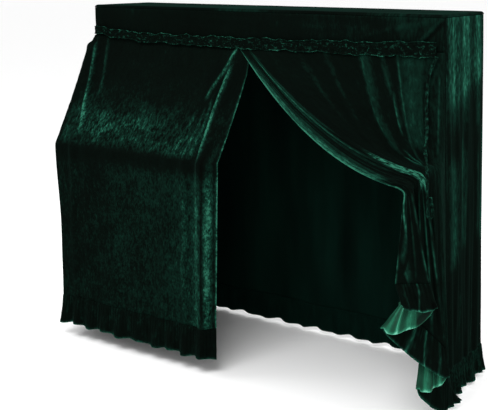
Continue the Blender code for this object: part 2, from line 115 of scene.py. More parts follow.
# Fold points of the right curtain, from its leading edge to the side seam.
# Odd points are outer folds, even points inner ones; the last two are the
# flat stretch along the cheek and the side seam.
# heading (x, y), power of the swag's curve, waist, flounce seam, hem
RIGHT_FOLDS = (
    ((-0.062, -0.004), 2.0, (0.777, -0.262, 0.797), (0.765, -0.282, 0.496),
     (0.796, -0.290, 0.431)),
    ((-0.048, -0.004), 1.9, (0.797, -0.252, 0.811), (0.852, -0.205, 0.495),
     (0.879, -0.205, 0.418)),
    ((-0.038, -0.004), 1.9, (0.786, -0.214, 0.818), (0.758, -0.235, 0.412),
     (0.735, -0.318, 0.354)),
    ((-0.022, -0.004), 1.85, (0.812, -0.190, 0.842), (0.880, -0.125, 0.259),
     (0.899, -0.135, 0.167)),
    ((0.430, -0.004), 3.0, (0.794, -0.144, 0.842), (0.804, -0.165, 0.248),
     (0.821, -0.222, 0.136)),
    ((HALF, -0.004), 3.0, (0.808, -0.075, 0.850), (0.861, -0.060, 0.172),
     (0.878, -0.085, 0.034)),
    ((HALF, SLANTED_WRAP), 3.0, (0.788, SLANTED_WRAP, 0.850),
     (0.818, SLANTED_WRAP, SIDE_SEAM), (0.870, 0.040, 0.016)),
)
FRILL_SAGS = (0.015, 0.042, 0.025, 0.025, 0.035, 0)   # how far each layer's hem hangs in a curve
FOLD_RADIUS = 0.005
FOLD_RADIUS_AT_HEM = 0.007
TRIM_HOLD = 0.035         # share of the swag over which the trim holds it upright
WAIST_BEND = 0.06         # share of the swag over which it turns down at the shelf

# Soft folds that run down from the heading of the right curtain.
# number of the layer, place across it, half width as a share, height
RIGHT_SOFT_FOLDS = (
    (3, 0.30, 0.10, 0.006),
    (3, 0.72, 0.10, 0.008),
    (4, 0.18, 0.09, 0.012),
    (4, 0.50, 0.08, 0.010),
    (4, 0.78, 0.07, 0.010),
)

# Soft folds of the tail below the waist, in the same columns.
TAIL_SOFT_FOLDS = (
    (0, 0.32, 0.14, 0.008),
    (2, 0.45, 0.12, 0.010),
    (4, 0.55, 0.12, 0.010),
)

# Route of the tie from the band's right end to the foot of its free loop.
TIE_ROUTE = (
    (0.757, -0.021, 1.191),
    (0.738, -0.022, 1.148),
    (0.731, -0.026, 1.105),
    (0.733, -0.034, 1.051),
    (0.739, -0.042, 1.003),
    (0.749, -0.057, 0.940),
    (0.752, -0.070, 0.897),
    (0.766, -0.094, 0.874),
    (0.792, -0.140, 0.864),
    (0.814, -0.184, 0.858),
    (0.827, -0.205, 0.836),
    (0.829, -0.206, 0.785),
    (0.829, -0.206, 0.715),
)
TIE_WIDTH = 0.012
TIE_THICKNESS = 0.003
TIE_FACING = (0.66, -0.75, 0)   # the way its flat side looks
TIE_SAMPLES = 40
TIE_LOOP_RADIUS = 0.010
TIE_LOOP_LENGTH = 0.055
TIE_LOOP_CLOSING = 0.009  # how far the loop's end leans back to the strap
TIE_TWIST = 0.8           # turn of the strap in the loop, in radians


# ------------------------------------------------------------ small maths
def mix(a, b, t):
    return a + (b - a) * t


def ease(t):
    """Soft step of one number, from 0 at t = 0 to 1 at t = 1."""
    t = min(max(t, 0.0), 1.0)
    return t * t * (3 - 2 * t)


def rise(x, zero, one):
    """Soft step of an array, from 0 where x is at zero to 1 where it is at one."""
    t = np.clip((x - zero) / (one - zero), 0, 1)
    return t * t * (3 - 2 * t)


def hump(distance, half_width):
    return np.exp(-(distance / half_width) ** 2)


def from_ends(u):
    """Distance to the nearer end of the cloth."""
    return np.minimum(u, u.max() - u)


def three_way(z, top, middle, bottom):
    """Value at height z of a line drawn from the heading past the shelf to the flounce seam."""
    if z >= SHELF_HEIGHT:
        return mix(top, middle, (CURTAIN_TOP - z) / (CURTAIN_TOP - SHELF_HEIGHT))
    return mix(middle, bottom, (SHELF_HEIGHT - z) / (SHELF_HEIGHT - LEFT_SEAM))


def along_table(x, table, column):
    """Value of a column at x, smoothly between the table's rows."""
    for low, high in zip(table, table[1:]):
        if x <= high[0]:
            return mix(low[column], high[column], ease((x - low[0]) / (high[0] - low[0])))
    return table[-1][column]


def curve(a, b, c, d, steps):
    """Samples of a cubic curve, without its first point."""
    return [a * (1 - t) ** 3 + b * (3 * t * (1 - t) ** 2) + c * (3 * t * t * (1 - t)) + d * t ** 3
            for t in ((i + 1) / steps for i in range(steps))]


def rounded(points, radius, steps, corner_steps=3):
    """Line through the points with rounded corners, as evenly counted samples.

    steps gives the number of samples on each straight stretch.
    """
    points = [Vector(p) for p in points]
    corners = []
    for before, here, after in zip(points, points[1:], points[2:]):
        to_before, to_after = before - here, after - here
        room = 0.45 * min(to_before.length, to_after.length)
        half_angle = max(to_before.angle(to_after, pi) / 2, 0.05)
        length = min(max(radius / tan(half_angle), 0.3 * radius), room)
        turn = max(pi - 2 * half_angle, 0.01)
        handle = 1 - (4 / 3) * tan(turn / 4) / tan(turn / 2)
        start = here + to_before.normalized() * length
        end = here + to_after.normalized() * length
        corners.append((start, mix(here, start, handle), mix(here, end, handle), end))
    line = [points[0]]
    for number, count in enumerate(steps):
        begin = corners[number - 1][3] if number else points[0]
        finish = corners[number][0] if number < len(corners) else points[-1]
        line += [mix(begin, finish, (i + 1) / count) for i in range(count)]
        if number < len(corners):
            line += curve(*corners[number], corner_steps)
    return line


def pleated(points, radius, steps, corner_steps=3, margin=0.003):
    """Line that runs to and fro between fold points and turns round each one.

    Each fold is a loop of the given radius in plan, however close its two
    layers lie, and it opens out to nothing where the layers lie straight.
    """
    points = [Vector(p) for p in points]
    flat = [Vector((p.x, p.y)) for p in points]
    centres, offsets = [flat[0]], [0.0]
    for before, here, after in zip(flat, flat[1:], flat[2:]):
        inward = (before - here).normalized() + (after - here).normalized()
        sharpness = inward.length / 2
        size = radius * sharpness ** 2
        centres.append(here + (inward.normalized() * size if sharpness > 1e-6 else inward))
        turns_left = (here - before).cross(after - here) > 0
        offsets.append(-size if turns_left else size)
    centres.append(flat[-1])
    offsets.append(0.0)
    legs = []
    for number in range(len(flat) - 1):
        gap = centres[number + 1] - centres[number]
        angle = atan2(gap.y, gap.x) - asin((offsets[number] - offsets[number + 1]) / gap.length)
        along, left = Vector((cos(angle), sin(angle))), Vector((-sin(angle), cos(angle)))
        legs.append((centres[number] + left * offsets[number],
                     centres[number + 1] + left * offsets[number + 1], along))
    line, last = [], len(legs) - 1
    for number, (begin, finish, along) in enumerate(legs):
        length = (finish - begin).length
        inset = min(margin, 0.3 * length)
        before, after = inset if number else 0, inset if number < last else 0
        begin = begin + along * before
        finish = finish - along * after
        z_begin = mix(points[number].z, points[number + 1].z, before / length)
        z_finish = mix(points[number + 1].z, points[number].z, after / length)
        if number:
            start, z_start, came = line[-1].xy, line[-1].z, legs[number - 1][2]
            handle = (4 / 3) * tan(came.angle(along, 0) / 4) * abs(offsets[number]) + (2 / 3) * inset
            bend = curve(start, start + came * handle, begin - along * handle, begin, corner_steps)
            line += [Vector((*place, mix(z_start, z_begin, (i + 1) / corner_steps)))
                     for i, place in enumerate(bend)]
        else:
            line.append(Vector((*begin, z_begin)))
        line += [Vector((*mix(begin, finish, t), mix(z_begin, z_finish, t)))
                 for t in ((i + 1) / steps[number] for i in range(steps[number]))]
    return line


def lengths_along(points):
    """Distance of each point along a polyline, or along its column of a grid."""
    steps = np.linalg.norm(np.diff(points, axis=0), axis=-1)
    return np.concatenate((np.zeros_like(steps[:1]), np.cumsum(steps, axis=0)))


def at_lengths(points, places):
    """Points of a polyline at the given distances along it."""
    lengths = lengths_along(points)
    return np.stack([np.interp(places, lengths, points[:, k]) for k in range(3)], 1)


def resampled(line, count):
    """Evenly spaced samples of a polyline given as an array."""
    return at_lengths(line, np.linspace(0, lengths_along(line)[-1], count + 1))


def spread(line, count):
    """Evenly spaced samples of a line of vectors."""
    return [Vector(p) for p in resampled(np.array(line), count)]


def directions(line):
    """Direction along a plan line and outwards from it, at each of its points."""
    result = []
    for before, after in zip(line[:1] + line[:-1], line[1:] + line[-1:]):
        along = (after - before).normalized()
        result.append((along, Vector((along.y, -along.x, 0)).normalized()))
    return result


# ----------------------------------------------------------- sheets of cloth
ORIGIN = Vector((0, COVER_DEPTH / 2, COVER_HEIGHT - CLOTH / 2))   # of the frame, in the room


def grid_of(rows):
    return np.array([[tuple(p) for p in row] for row in rows])


def outward_of(grid):
    """Unit normals of a grid whose rows run down and columns run across."""
    normal = np.cross(np.gradient(grid, axis=0), np.gradient(grid, axis=1))
    return normal / np.maximum(np.linalg.norm(normal, axis=2, keepdims=True), 1e-12)


def pushed(grid, push):
    """The grid moved outwards by push."""
    return grid + outward_of(grid) * push[..., None]


def cloth_coordinates(grid):
    """Distance across and down the cloth of each point, in metres."""
    across, down = lengths_along(grid.swapaxes(0, 1)), lengths_along(grid)
    return np.meshgrid(across.mean(axis=1), down.mean(axis=1))


def field(u, v, size, seed, octaves=3):
    """Smooth noise over the cloth, about -1 to 1, with features of the given (u, v) size."""
    values = [noise.fractal(Vector((a / size[0], b / size[1], seed)), 1.0, 2.0, octaves)
              for a, b in zip(u.ravel(), v.ravel())]
    return np.array(values).reshape(u.shape)


def creases(a, b, table):
    """Height at (a, b) of soft ridges and troughs drawn as bent lines.

    Rows of the table: points of the line, half width, height.
    """
    height = np.zeros_like(a)
    for points, width, peak in table:
        lengths = lengths_along(np.array(points))
        best = np.full(a.shape, np.inf)
        along = np.zeros_like(a)
        for number, (p, q) in enumerate(zip(points, points[1:])):
            dx, dy = q[0] - p[0], q[1] - p[1]
            t = np.clip(((a - p[0]) * dx + (b - p[1]) * dy) / (dx * dx + dy * dy), 0, 1)
            distance = (a - p[0] - t * dx) ** 2 + (b - p[1] - t * dy) ** 2
            nearer = distance < best
            best = np.where(nearer, distance, best)
            along = np.where(nearer, mix(lengths[number], lengths[number + 1], t) / lengths[-1], along)
        height += peak * np.exp(-best / width ** 2) * rise(along, 0, 0.2) * rise(along, 1, 0.8)
    return height


def free_edge(hem, fold, height, stitching):
    """Height of a turned hem at distance hem from the free edge, with the groove of its stitches."""
    return (height * rise(hem, fold, fold - 0.003)
            - stitching * hump(hem - fold - 0.001, 0.002))


def painted_hem_highlight(hem):
    """Painted highlight along a turned hem: how much lighter the tone is at distance hem from its edge.
    """
    return 0.55 * hump(hem, 0.005)


def sheet_piece(name, grid, pile_tone_and_painted_light, materials, thickness=CLOTH, crush=0.0, by_column=False):
    """Makes the cloth mesh of a grid and dresses the CAD node with it.

    The tone array gives how light each point is, from random crushed pile and from painted highlights and
    painted shade; crush gives how mottled it is.
    The pile is measured down the middle of the cloth, or down each column.
    """
    shape = grid.shape[:2]
    mesh = bpy.data.meshes.new(name)
    index = np.arange(shape[0] * shape[1]).reshape(shape)
    faces = np.stack((index[:-1, :-1], index[1:, :-1], index[1:, 1:], index[:-1, 1:]), axis=-1)
    points = (grid - np.array(ORIGIN)).reshape(-1, 3)
    mesh.from_pydata(points.tolist(), [], faces.reshape(-1, 4).tolist())
    u, v = cloth_coordinates(grid)
    if by_column:
        v = lengths_along(grid)
    layer = mesh.uv_layers.new(name="cloth")
    corner = np.zeros(len(mesh.loops), np.int32)
    mesh.loops.foreach_get("vertex_index", corner)
    layer.data.foreach_set("uv", np.stack([u.ravel(), v.ravel()], 1)[corner].ravel())
    for title, values in (("pile_tone_and_painted_light", pile_tone_and_painted_light), ("crush", crush)):
        mark = mesh.attributes.new(title, "FLOAT", "POINT")
        mark.data.foreach_set("value", np.broadcast_to(values, shape).ravel().astype(np.float32))
    mesh.shade_smooth()
    piece = bpy.data.objects.new("velvet_" + name, mesh)
    bpy.context.scene.collection.objects.link(piece)
    for material in materials:
        mesh.materials.append(material)
    skin = piece.modifiers.new("thickness", "SOLIDIFY")
    skin.thickness = thickness
    skin.offset = 0
    skin.use_even_offset = True
    skin.thickness_clamp = 1
    skin.material_offset = len(materials) - 1
    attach(piece, "root")
    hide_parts(name)
    return piece


# ------------------------------------------------------------- materials
def feed(made, inputs):
    """Sets each input of a node, or links it where a socket is given."""
    for key, value in inputs.items():
        if isinstance(value, bpy.types.NodeSocket):
            made.id_data.links.new(value, made.inputs[key])
        else:
            made.inputs[key].default_value = value


def node(tree, kind, inputs=(), **settings):
    made = tree.nodes.new("ShaderNode" + kind)
    for key, value in settings.items():
        setattr(made, key, value)
    feed(made, dict(inputs))
    return made


def velvet(name, ramp, tint, streak, contrast, rough=0.8, specular=0.0, relief=0.0016):
    """Crushed velvet: dark pile, lighter where the tone mark is higher; that mark holds random crushed
    pile with painted highlights and painted shade.

    ramp holds the pile's colours, and tint its sheen's. Its clouds are drawn out
    by streak; rows of contrast: scale, detail, strength.
    """
    material = bpy.data.materials.new(name)
    material.use_nodes = True
    tree = material.node_tree
    place = node(tree, "UVMap", uv_map="cloth").outputs["UV"]

    def cloud(scale, detail, stretch, turn=0.0):
        mapping = node(tree, "Mapping", {"Vector": place, "Scale": (1, stretch, 1),
                                         "Rotation": (0, 0, turn)})
        return node(tree, "TexNoise", {"Vector": mapping.outputs["Vector"], "Scale": scale,
                                       "Detail": detail, "Roughness": 0.6,
                                       "Distortion": 0.4}).outputs["Fac"]

    def maths(operation, *values):
        return node(tree, "Math", enumerate(values), operation=operation).outputs[0]

    def mark(title):
        return node(tree, "Attribute", attribute_name=title).outputs["Fac"]

    clouds = [cloud(scale, detail, streak) for scale, detail, _ in contrast]
    variation = 1
    for value, (_, _, amount) in zip(clouds, contrast):
        variation = maths("ADD", variation, maths("MULTIPLY_ADD", value, amount, -amount / 2))
    dabs = maths("MULTIPLY_ADD", cloud(DAB_SCALE, 2, DAB_STRETCH, DAB_TURN), DAB_CONTRAST,
                 -DAB_CONTRAST / 2)
    # The tone mark carries painted highlights and painted shade as well as the pile's random tone.
    light = maths("ADD", maths("MULTIPLY", mark("pile_tone_and_painted_light"), variation),
                  maths("MULTIPLY", mark("crush"), dabs))
    colours = node(tree, "ValToRGB", {"Fac": light})
    while len(colours.color_ramp.elements) < len(ramp):
        colours.color_ramp.elements.new(0.5)
    for element, (position, colour) in zip(colours.color_ramp.elements, ramp):
        element.position = position
        element.color = (*colour, 1)
    bump = node(tree, "Bump", {"Strength": 0.5, "Distance": relief, "Height": clouds[-2]})
    feed(tree.nodes["Principled BSDF"], {
        "Base Color": colours.outputs["Color"], "Normal": bump.outputs["Normal"],
        "Roughness": rough, "Specular IOR Level": specular,
        "Sheen Weight": 0.02, "Sheen Roughness": 0.35, "Sheen Tint": (*tint, 1)})
    return material


DAB_SCALE, DAB_STRETCH, DAB_TURN, DAB_CONTRAST = 95.0, 0.42, radians(28), 3.2
PILE_RAMP = ((0.0, (0.0012, 0.0016, 0.0013)), (0.25, (0.0015, 0.0031, 0.0023)),
             (0.5, (0.0026, 0.0125, 0.0083)), (0.75, (0.0062, 0.04, 0.0255)),
             (1.0, (0.021, 0.115, 0.074)))
REVERSE_RAMP = ((0.0, (0.0012, 0.007, 0.0042)), (0.35, (0.0055, 0.044, 0.0245)),
                (0.7, (0.015, 0.13, 0.073)), (1.0, (0.11, 0.4, 0.27)))
# Painted shade: a darker copy of the reverse, for the inner faces of the panels, the left curtain and the
# frills, which lie in shade.
SHADED_REVERSE_RAMP = ((0.0, (0.001, 0.003, 0.0024)), (1.0, (0.003, 0.018, 0.012)))
PILE_TINT, REVERSE_TINT = (0.25, 0.8, 0.6), (0.2, 0.9, 0.6)
PILE = velvet("crushed_velvet", PILE_RAMP, PILE_TINT, 0.5,
              ((9.0, 2, 0.7), (60.0, 3, 1.5), (190.0, 2, 1.8)))
SMOOTH_PILE = velvet("stroked_velvet", PILE_RAMP, PILE_TINT, 0.25,
                     ((8.0, 2, 0.7), (40.0, 3, 0.9), (150.0, 2, 1.2)), relief=0.001)
REVERSE = velvet("velvet_reverse", REVERSE_RAMP, REVERSE_TINT, 0.3,
                 ((10.0, 2, 0.8), (60.0, 2, 0.9), (260.0, 2, 0.4)), 0.45, 0.045, 0.0006)
SHADED_REVERSE = velvet("velvet_reverse_painted_shade", SHADED_REVERSE_RAMP, REVERSE_TINT, 0.3,
                 ((10.0, 2, 0.6), (60.0, 2, 0.6), (260.0, 2, 0.3)), relief=0.0006)
# The second material of each pair covers the inner face; the darker copy of the reverse there is painted
# shade.
BOTH = (SMOOTH_PILE, REVERSE)
CLOSED = (PILE, SHADED_REVERSE)
PLAIN = (SMOOTH_PILE, SHADED_REVERSE)


# ------------------------------------------------------------ case panels
def bent_edges(low, high, count, arc_steps=6):
    """Places and drops across a panel whose two edges turn down in an arc."""
    arc = [(TURN_DOWN * (1 - cos(turn)), TURN_DOWN * (1 - sin(turn)))
           for turn in (pi / 2 * i / arc_steps for i in range(arc_steps + 1))]
    flat_low, flat_high = low + TURN_DOWN, high - TURN_DOWN
    middle = [(mix(flat_low, flat_high, i / count), 0) for i in range(1, count)]
    return ([(low + inset, drop) for inset, drop in arc] + middle
            + [(high - inset, drop) for inset, drop in reversed(arc)])


TOP_COLUMNS, TOP_ROWS = 150, 34
WELT = 0.012              # from the edge of the top to the ridge that its seam allowance makes


def top_panel():
    lengthwise = bent_edges(-HALF, HALF, TOP_COLUMNS)
    crosswise = bent_edges(0, COVER_DEPTH, TOP_ROWS)
    grid = grid_of([[Vector((x, y, COVER_HEIGHT - max(drop_x, drop_y)))
                     for x, drop_x in lengthwise] for y, drop_y in crosswise][::-1])
    u, v = cloth_coordinates(grid)
    edge = np.minimum(from_ends(u), from_ends(v))
    welt = 0.0012 * hump(edge - WELT, 0.005)
    ripples = 0.0009 * field(u, v, (0.12, 0.08), 3.1) * rise(edge, 0, 0.03)
    grid = pushed(grid, welt + ripples)
    # Painted shade: darker towards the front and back edges, where the top turns down; the field is
    # random tone.
    pile_tone_and_painted_light = 0.3 + 0.2 * field(u, v, (0.3, 0.2), 5.2) - 0.08 * rise(from_ends(v), 0.1, 0.02)
    piece = sheet_piece("top_panel", grid, pile_tone_and_painted_light, PLAIN)


# Creases of the band, most of them drawn from its corners, as bent lines in (x, z).
BAND_CREASES = (
    (((0.77, 1.32), (0.73, 1.277), (0.7, 1.245), (0.66, 1.225)), 0.005, 0.005),
    (((0.77, 1.305), (0.738, 1.268), (0.705, 1.238), (0.67, 1.22)), 0.006, -0.004),
    (((0.765, 1.31), (0.64, 1.285), (0.54, 1.262), (0.45, 1.24)), 0.008, 0.0028),
    (((-0.755, 1.3), (-0.735, 1.262), (-0.715, 1.23)), 0.007, 0.002),
    (((-0.3, 1.295), (-0.1, 1.286), (0.12, 1.29)), 0.01, 0.0012),
    (((0.22, 1.27), (0.38, 1.278), (0.52, 1.268)), 0.009, 0.0012),
)
RIDGE_LIGHT, TROUGH_SHADE = 30, 40    # painted highlight on ridges and painted shade in troughs: tone for each metre of their height
PANEL_TOP = COVER_HEIGHT - TURN_DOWN - SEAM_GAP


def front_band():
    plan = rounded(((-HALF, CORNER_WRAP, 0), (-HALF, 0, 0), (HALF, 0, 0), (HALF, CORNER_WRAP, 0)),
                   CORNER_RADIUS, (3, 240, 3), 6)
    levels = 22
    rows = []
    for number in range(levels + 1):
        t = number / levels
        swell = 0.003 * sin(pi * t)
        rows.append([Vector((p.x, p.y - swell * sin(9 * p.x + 1) * ease((HALF - abs(p.x)) / 0.1),
                             mix(PANEL_TOP, BAND_BOTTOM, t))) for p in plan])
    grid = grid_of(rows)
    u, v = cloth_coordinates(grid)
    t = v / v.max()
    x, z = grid[..., 0], grid[..., 2]
    puckers = 0.0016 * field(u, v, (0.016, 0.1), 7.7, 2) * rise(t, 0.35, 1)
    puckers += 0.0008 * field(u, v, (0.02, 0.06), 2.3, 2) * rise(t, 0.3, 0)
    drawn = creases(x, z, BAND_CREASES)
    grid = pushed(grid, puckers + drawn)
    # Painted light: the band is lighter towards its right end, with a painted highlight along its top
    # edge, painted highlights on its ridges and painted shade in its troughs; the field is random tone.
    pile_tone_and_painted_light = 0.17 + 0.1 * rise(x, 0.1, 0.6) + 0.06 * field(u, v, (0.25, 0.08), 1.4)
    pile_tone_and_painted_light += 0.05 * hump(t, 0.08) + np.where(drawn > 0, RIDGE_LIGHT, TROUGH_SHADE) * drawn
    piece = sheet_piece("front_band", grid, pile_tone_and_painted_light, PLAIN)


SIDES = ((1, "right"), (-1, "left"))


def front_seam_x(side, z):
    """How far out the seam of a side panel and its curtain hangs at height z."""
    drop = (COVER_HEIGHT - z) / COVER_HEIGHT
    return HALF + (FRONT_FLARE_RIGHT if side > 0 else FRONT_FLARE_LEFT) * drop ** 0.9


def side_line(side, z):
    """Plan of a side panel at height z, as three points."""
    drop = (COVER_HEIGHT - z) / COVER_HEIGHT
    front = front_seam_x(side, z)
    rear = HALF + REAR_FLARE * drop ** 2 + REAR_SWELL * sin(pi * drop ** 0.8)
    back = COVER_DEPTH + 0.85 * REAR_FLARE * drop ** 2
    return ((side * front, CORNER_WRAP + SEAM_GAP, z), (side * rear, back, z),
            (side * (rear - 2 * CORNER_RADIUS), back, z))


# Folds of the side panels, as bent lines in (y, z).
SIDE_CREASES = (
    (((0.03, 1.29), (0.034, 0.95), (0.05, 0.55)), 0.009, 0.003),
    (((0.105, 1.28), (0.1, 1.05), (0.112, 0.8)), 0.01, 0.0028),
    (((0.18, 1.28), (0.188, 1.0), (0.17, 0.6)), 0.011, 0.003),
    (((0.255, 1.27), (0.262, 1.1), (0.25, 0.9)), 0.01, 0.0022),
    (((0.09, 0.75), (0.1, 0.45), (0.085, 0.16)), 0.012, 0.0045),
    (((0.165, 0.72), (0.16, 0.4), (0.175, 0.14)), 0.01, 0.004),
    (((0.235, 0.8), (0.24, 0.45), (0.23, 0.15)), 0.012, 0.004),
    (((0.29, 0.6), (0.295, 0.35), (0.3, 0.14)), 0.01, 0.0035),
)
# Lighter stripes of the side panels, partly random crushed pile and partly painted highlight, as bent
# lines in (y, z).
SIDE_LIGHTS = (
    (((0.07, 1.48), (0.072, 1.16), (0.074, 0.88)), 0.04, 0.3),
    (((0.17, 1.48), (0.168, 1.16), (0.166, 0.88)), 0.028, 0.28),
    (((0.275, 1.5), (0.272, 1.16), (0.276, 0.86)), 0.022, 0.32),
    (((0.074, 0.88), (0.072, 0.7), (0.075, 0.42)), 0.044, 0.38),
    (((0.145, 0.96), (0.144, 0.72), (0.142, 0.48)), 0.01, 0.34),
    (((0.17, 0.92), (0.168, 0.7), (0.16, 0.48)), 0.022, 0.24),
    (((0.276, 0.9), (0.276, 0.74), (0.275, 0.5)), 0.01, 0.24),
    (((0.318, 0.98), (0.322, 0.72), (0.324, 0.46)), 0.014, 0.44),
    (((0.02, 1.24), (0.016, 0.95), (0.02, 0.7)), 0.004, 0.25),
    (((0.045, 1.02), (0.048, 0.9), (0.05, 0.78)), 0.006, 0.2),
    (((0.135, 0.48), (0.12, 0.28), (0.11, 0.08)), 0.007, 0.16),
    (((0.235, 0.46), (0.235, 0.26), (0.23, 0.08)), 0.007, 0.16),
    (((0.04, 0.4), (0.042, 0.24), (0.044, 0.08)), 0.006, 0.14),
)


# The allowance that runs on from a side panel behind its curtain: how far in its
# root and its tip lie, and its reach at the top and lower down.
ALLOWANCE_ROOT, ALLOWANCE_TIP = 0.003, 0.005
ALLOWANCE_REACH = (0.0042, 0.013)
BACK_ALLOWANCE = 0.006    # the same at each end of the back panel
HAIR = 0.0004             # parting between cloth and cloth that lies on it


def side_grid(side):
    rows, levels = [], 130
    for number in range(levels + 1):
        z = mix(PANEL_TOP, SIDE_SEAM, number / levels)
        row = []
        for p in rounded(side_line(side, z), CORNER_RADIUS, (60, 3), 6):
            share = p.y / COVER_DEPTH
            push = sum(mix(high, low, number / levels) * hump(share - place, width / COVER_DEPTH)
                       for place, width, high, low in SIDE_FOLDS)
            push *= ease(share / 0.1) * ease((1 - share) / 0.1)
            row.append(p + Vector((side * push, 0, 0)))
        rows.append(row if side > 0 else row[::-1])
    return grid_of(rows)


def side_panel(name, side):
    """A side panel, with the seam allowance that runs on behind its curtain."""
    grid = side_grid(side)
    u, v = cloth_coordinates(grid)
    y, z = grid[..., 1], grid[..., 2]
    push = mix(0.0006, 0.0032, rise(z, 1.3, 0.4)) * field(u, v, (0.03, 0.55), 4.4 + side, 3)
    push += creases(y, z, SIDE_CREASES)
    grid = pushed(grid, push * rise(from_ends(u), 0, 0.02))
    # Painted highlight on the upper part of each side panel, fainter at its front corner, where the
    # random streaks of crushed pile are also stronger.
    upper = rise(z - 0.3 * np.maximum(y - 0.1, 0), 0.975, 1.065)
    pile_tone_and_painted_light = 0.15 + (0.07 + 0.06 * upper) * field(u, v, (0.02, 0.5), 9.1, 3)
    pile_tone_and_painted_light += creases(y, z, SIDE_LIGHTS) + upper * (0.27 - 0.2 * hump(y - 0.008, 0.022))
    crush = 0.05 + 0.16 * rise(z, 1.0, 1.1)
    front = grid[:, :1] if side > 0 else grid[:, -1:]
    reach = mix(*ALLOWANCE_REACH, rise(front[..., 2], 1.14, 0.94))
    zero = np.zeros_like(reach)
    tip = front + np.stack((zero - side * ALLOWANCE_TIP, -reach, zero), axis=-1)
    root = front + np.stack((zero - side * ALLOWANCE_ROOT, zero - HAIR, zero), axis=-1)
    added = (tip, root, grid) if side > 0 else (grid, root, tip)
    pad = ((0, 0), (2, 0) if side > 0 else (0, 2))
    piece = sheet_piece(name, np.concatenate(added, axis=1), np.pad(pile_tone_and_painted_light, pad, mode="edge"), PLAIN,
                        crush=np.pad(crush, pad, mode="edge"))
    return grid


def back_panel():
    """The back panel, with a narrow allowance tucked in at each end."""
    rows, levels, columns = [], 70, 170
    for number in range(levels + 1):
        drop = number / levels
        z = mix(PANEL_TOP, SIDE_SEAM, drop)
        end = side_line(1, z)[2]
        edge = end[0] - SEAM_GAP
        rows.append([Vector((mix(edge, -edge, i / columns),
                             end[1] + 0.008 * drop * sin(pi * i / columns) * sin(8 * pi * i / columns),
                             z)) for i in range(columns + 1)])
    grid = grid_of(rows)
    u, v = cloth_coordinates(grid)
    push = mix(0.0008, 0.0048, rise(grid[..., 2], 1.3, 0.3)) * field(u, v, (0.06, 0.8), 6.6, 3)
    grid = pushed(grid, push * rise(from_ends(u), 0, 0.03))
    pile_tone_and_painted_light = 0.26 + 0.22 * field(u, v, (0.08, 0.6), 8.8, 3)
    inset, tucked = np.array((1, 0, 0)), np.array((0, -CLOTH - HAIR, 0))
    inner = [grid[:, :1] + tucked + inset * width for width in (BACK_ALLOWANCE, HAIR)]
    outer = [grid[:, -1:] + tucked - inset * width for width in (HAIR, BACK_ALLOWANCE)]
    piece = sheet_piece("back_panel", np.concatenate([*inner, grid, *outer], axis=1),
                        np.pad(pile_tone_and_painted_light, ((0, 0), (2, 2)), mode="edge"), CLOSED)
    return grid


# ---------------------------------------------------------- left curtain
LEFT_CORNER_RADIUS = 0.012    # where the cheek turns into the front
LEFT_NARROWING = 0.022    # how far in the corner hangs below the shelf
LEFT_CROWDING = 0.62      # how much closer the columns lie near both ends of the front
LEFT_FADE = 0.03          # from the corner to where the front's folds are full


def left_edge_x(z):
    """Where the left curtain's opening edge hangs."""
    return three_way(z, 0.002, 0.021, 0.014)


def left_push(x, z):
    """How far the folds stand in front of the stretched cloth."""
    push = 0
    for x_top, x_shelf, x_hem, width, *heights in LEFT_FOLDS:
        place = three_way(z, x_top, x_shelf, x_hem)
        push += three_way(z, *heights) * hump(x - place, width)
    past_last_fold = (x - place) / (left_edge_x(z) - place)
    return push - EDGE_TURN_BACK * ease((CURTAIN_TOP - z) / 0.12) * ease(past_last_fold)


def left_plan(reach, z, front_steps=130):
    """Plan of the left curtain, with its folds, where it stands `reach` in front of the case."""
    corner_x = HALF + 0.004 - LEFT_NARROWING * ease((SHELF_HEIGHT - z) / 0.35)
    *cheek, edge = rounded(((-front_seam_x(-1, z), CORNER_WRAP, z), (-corner_x, -reach, z),
                            (left_edge_x(z), -reach, z)), LEFT_CORNER_RADIUS, (34, 1), 6)
    turns = [2 * pi * (i + 1) / front_steps for i in range(front_steps)]
    line = cheek + [mix(cheek[-1], edge, (turn - LEFT_CROWDING * sin(turn)) / (2 * pi)) for turn in turns]
    return [p - Vector((0, ease((p.x + HALF) / LEFT_FADE) * left_push(p.x, z), 0)) for p in line]


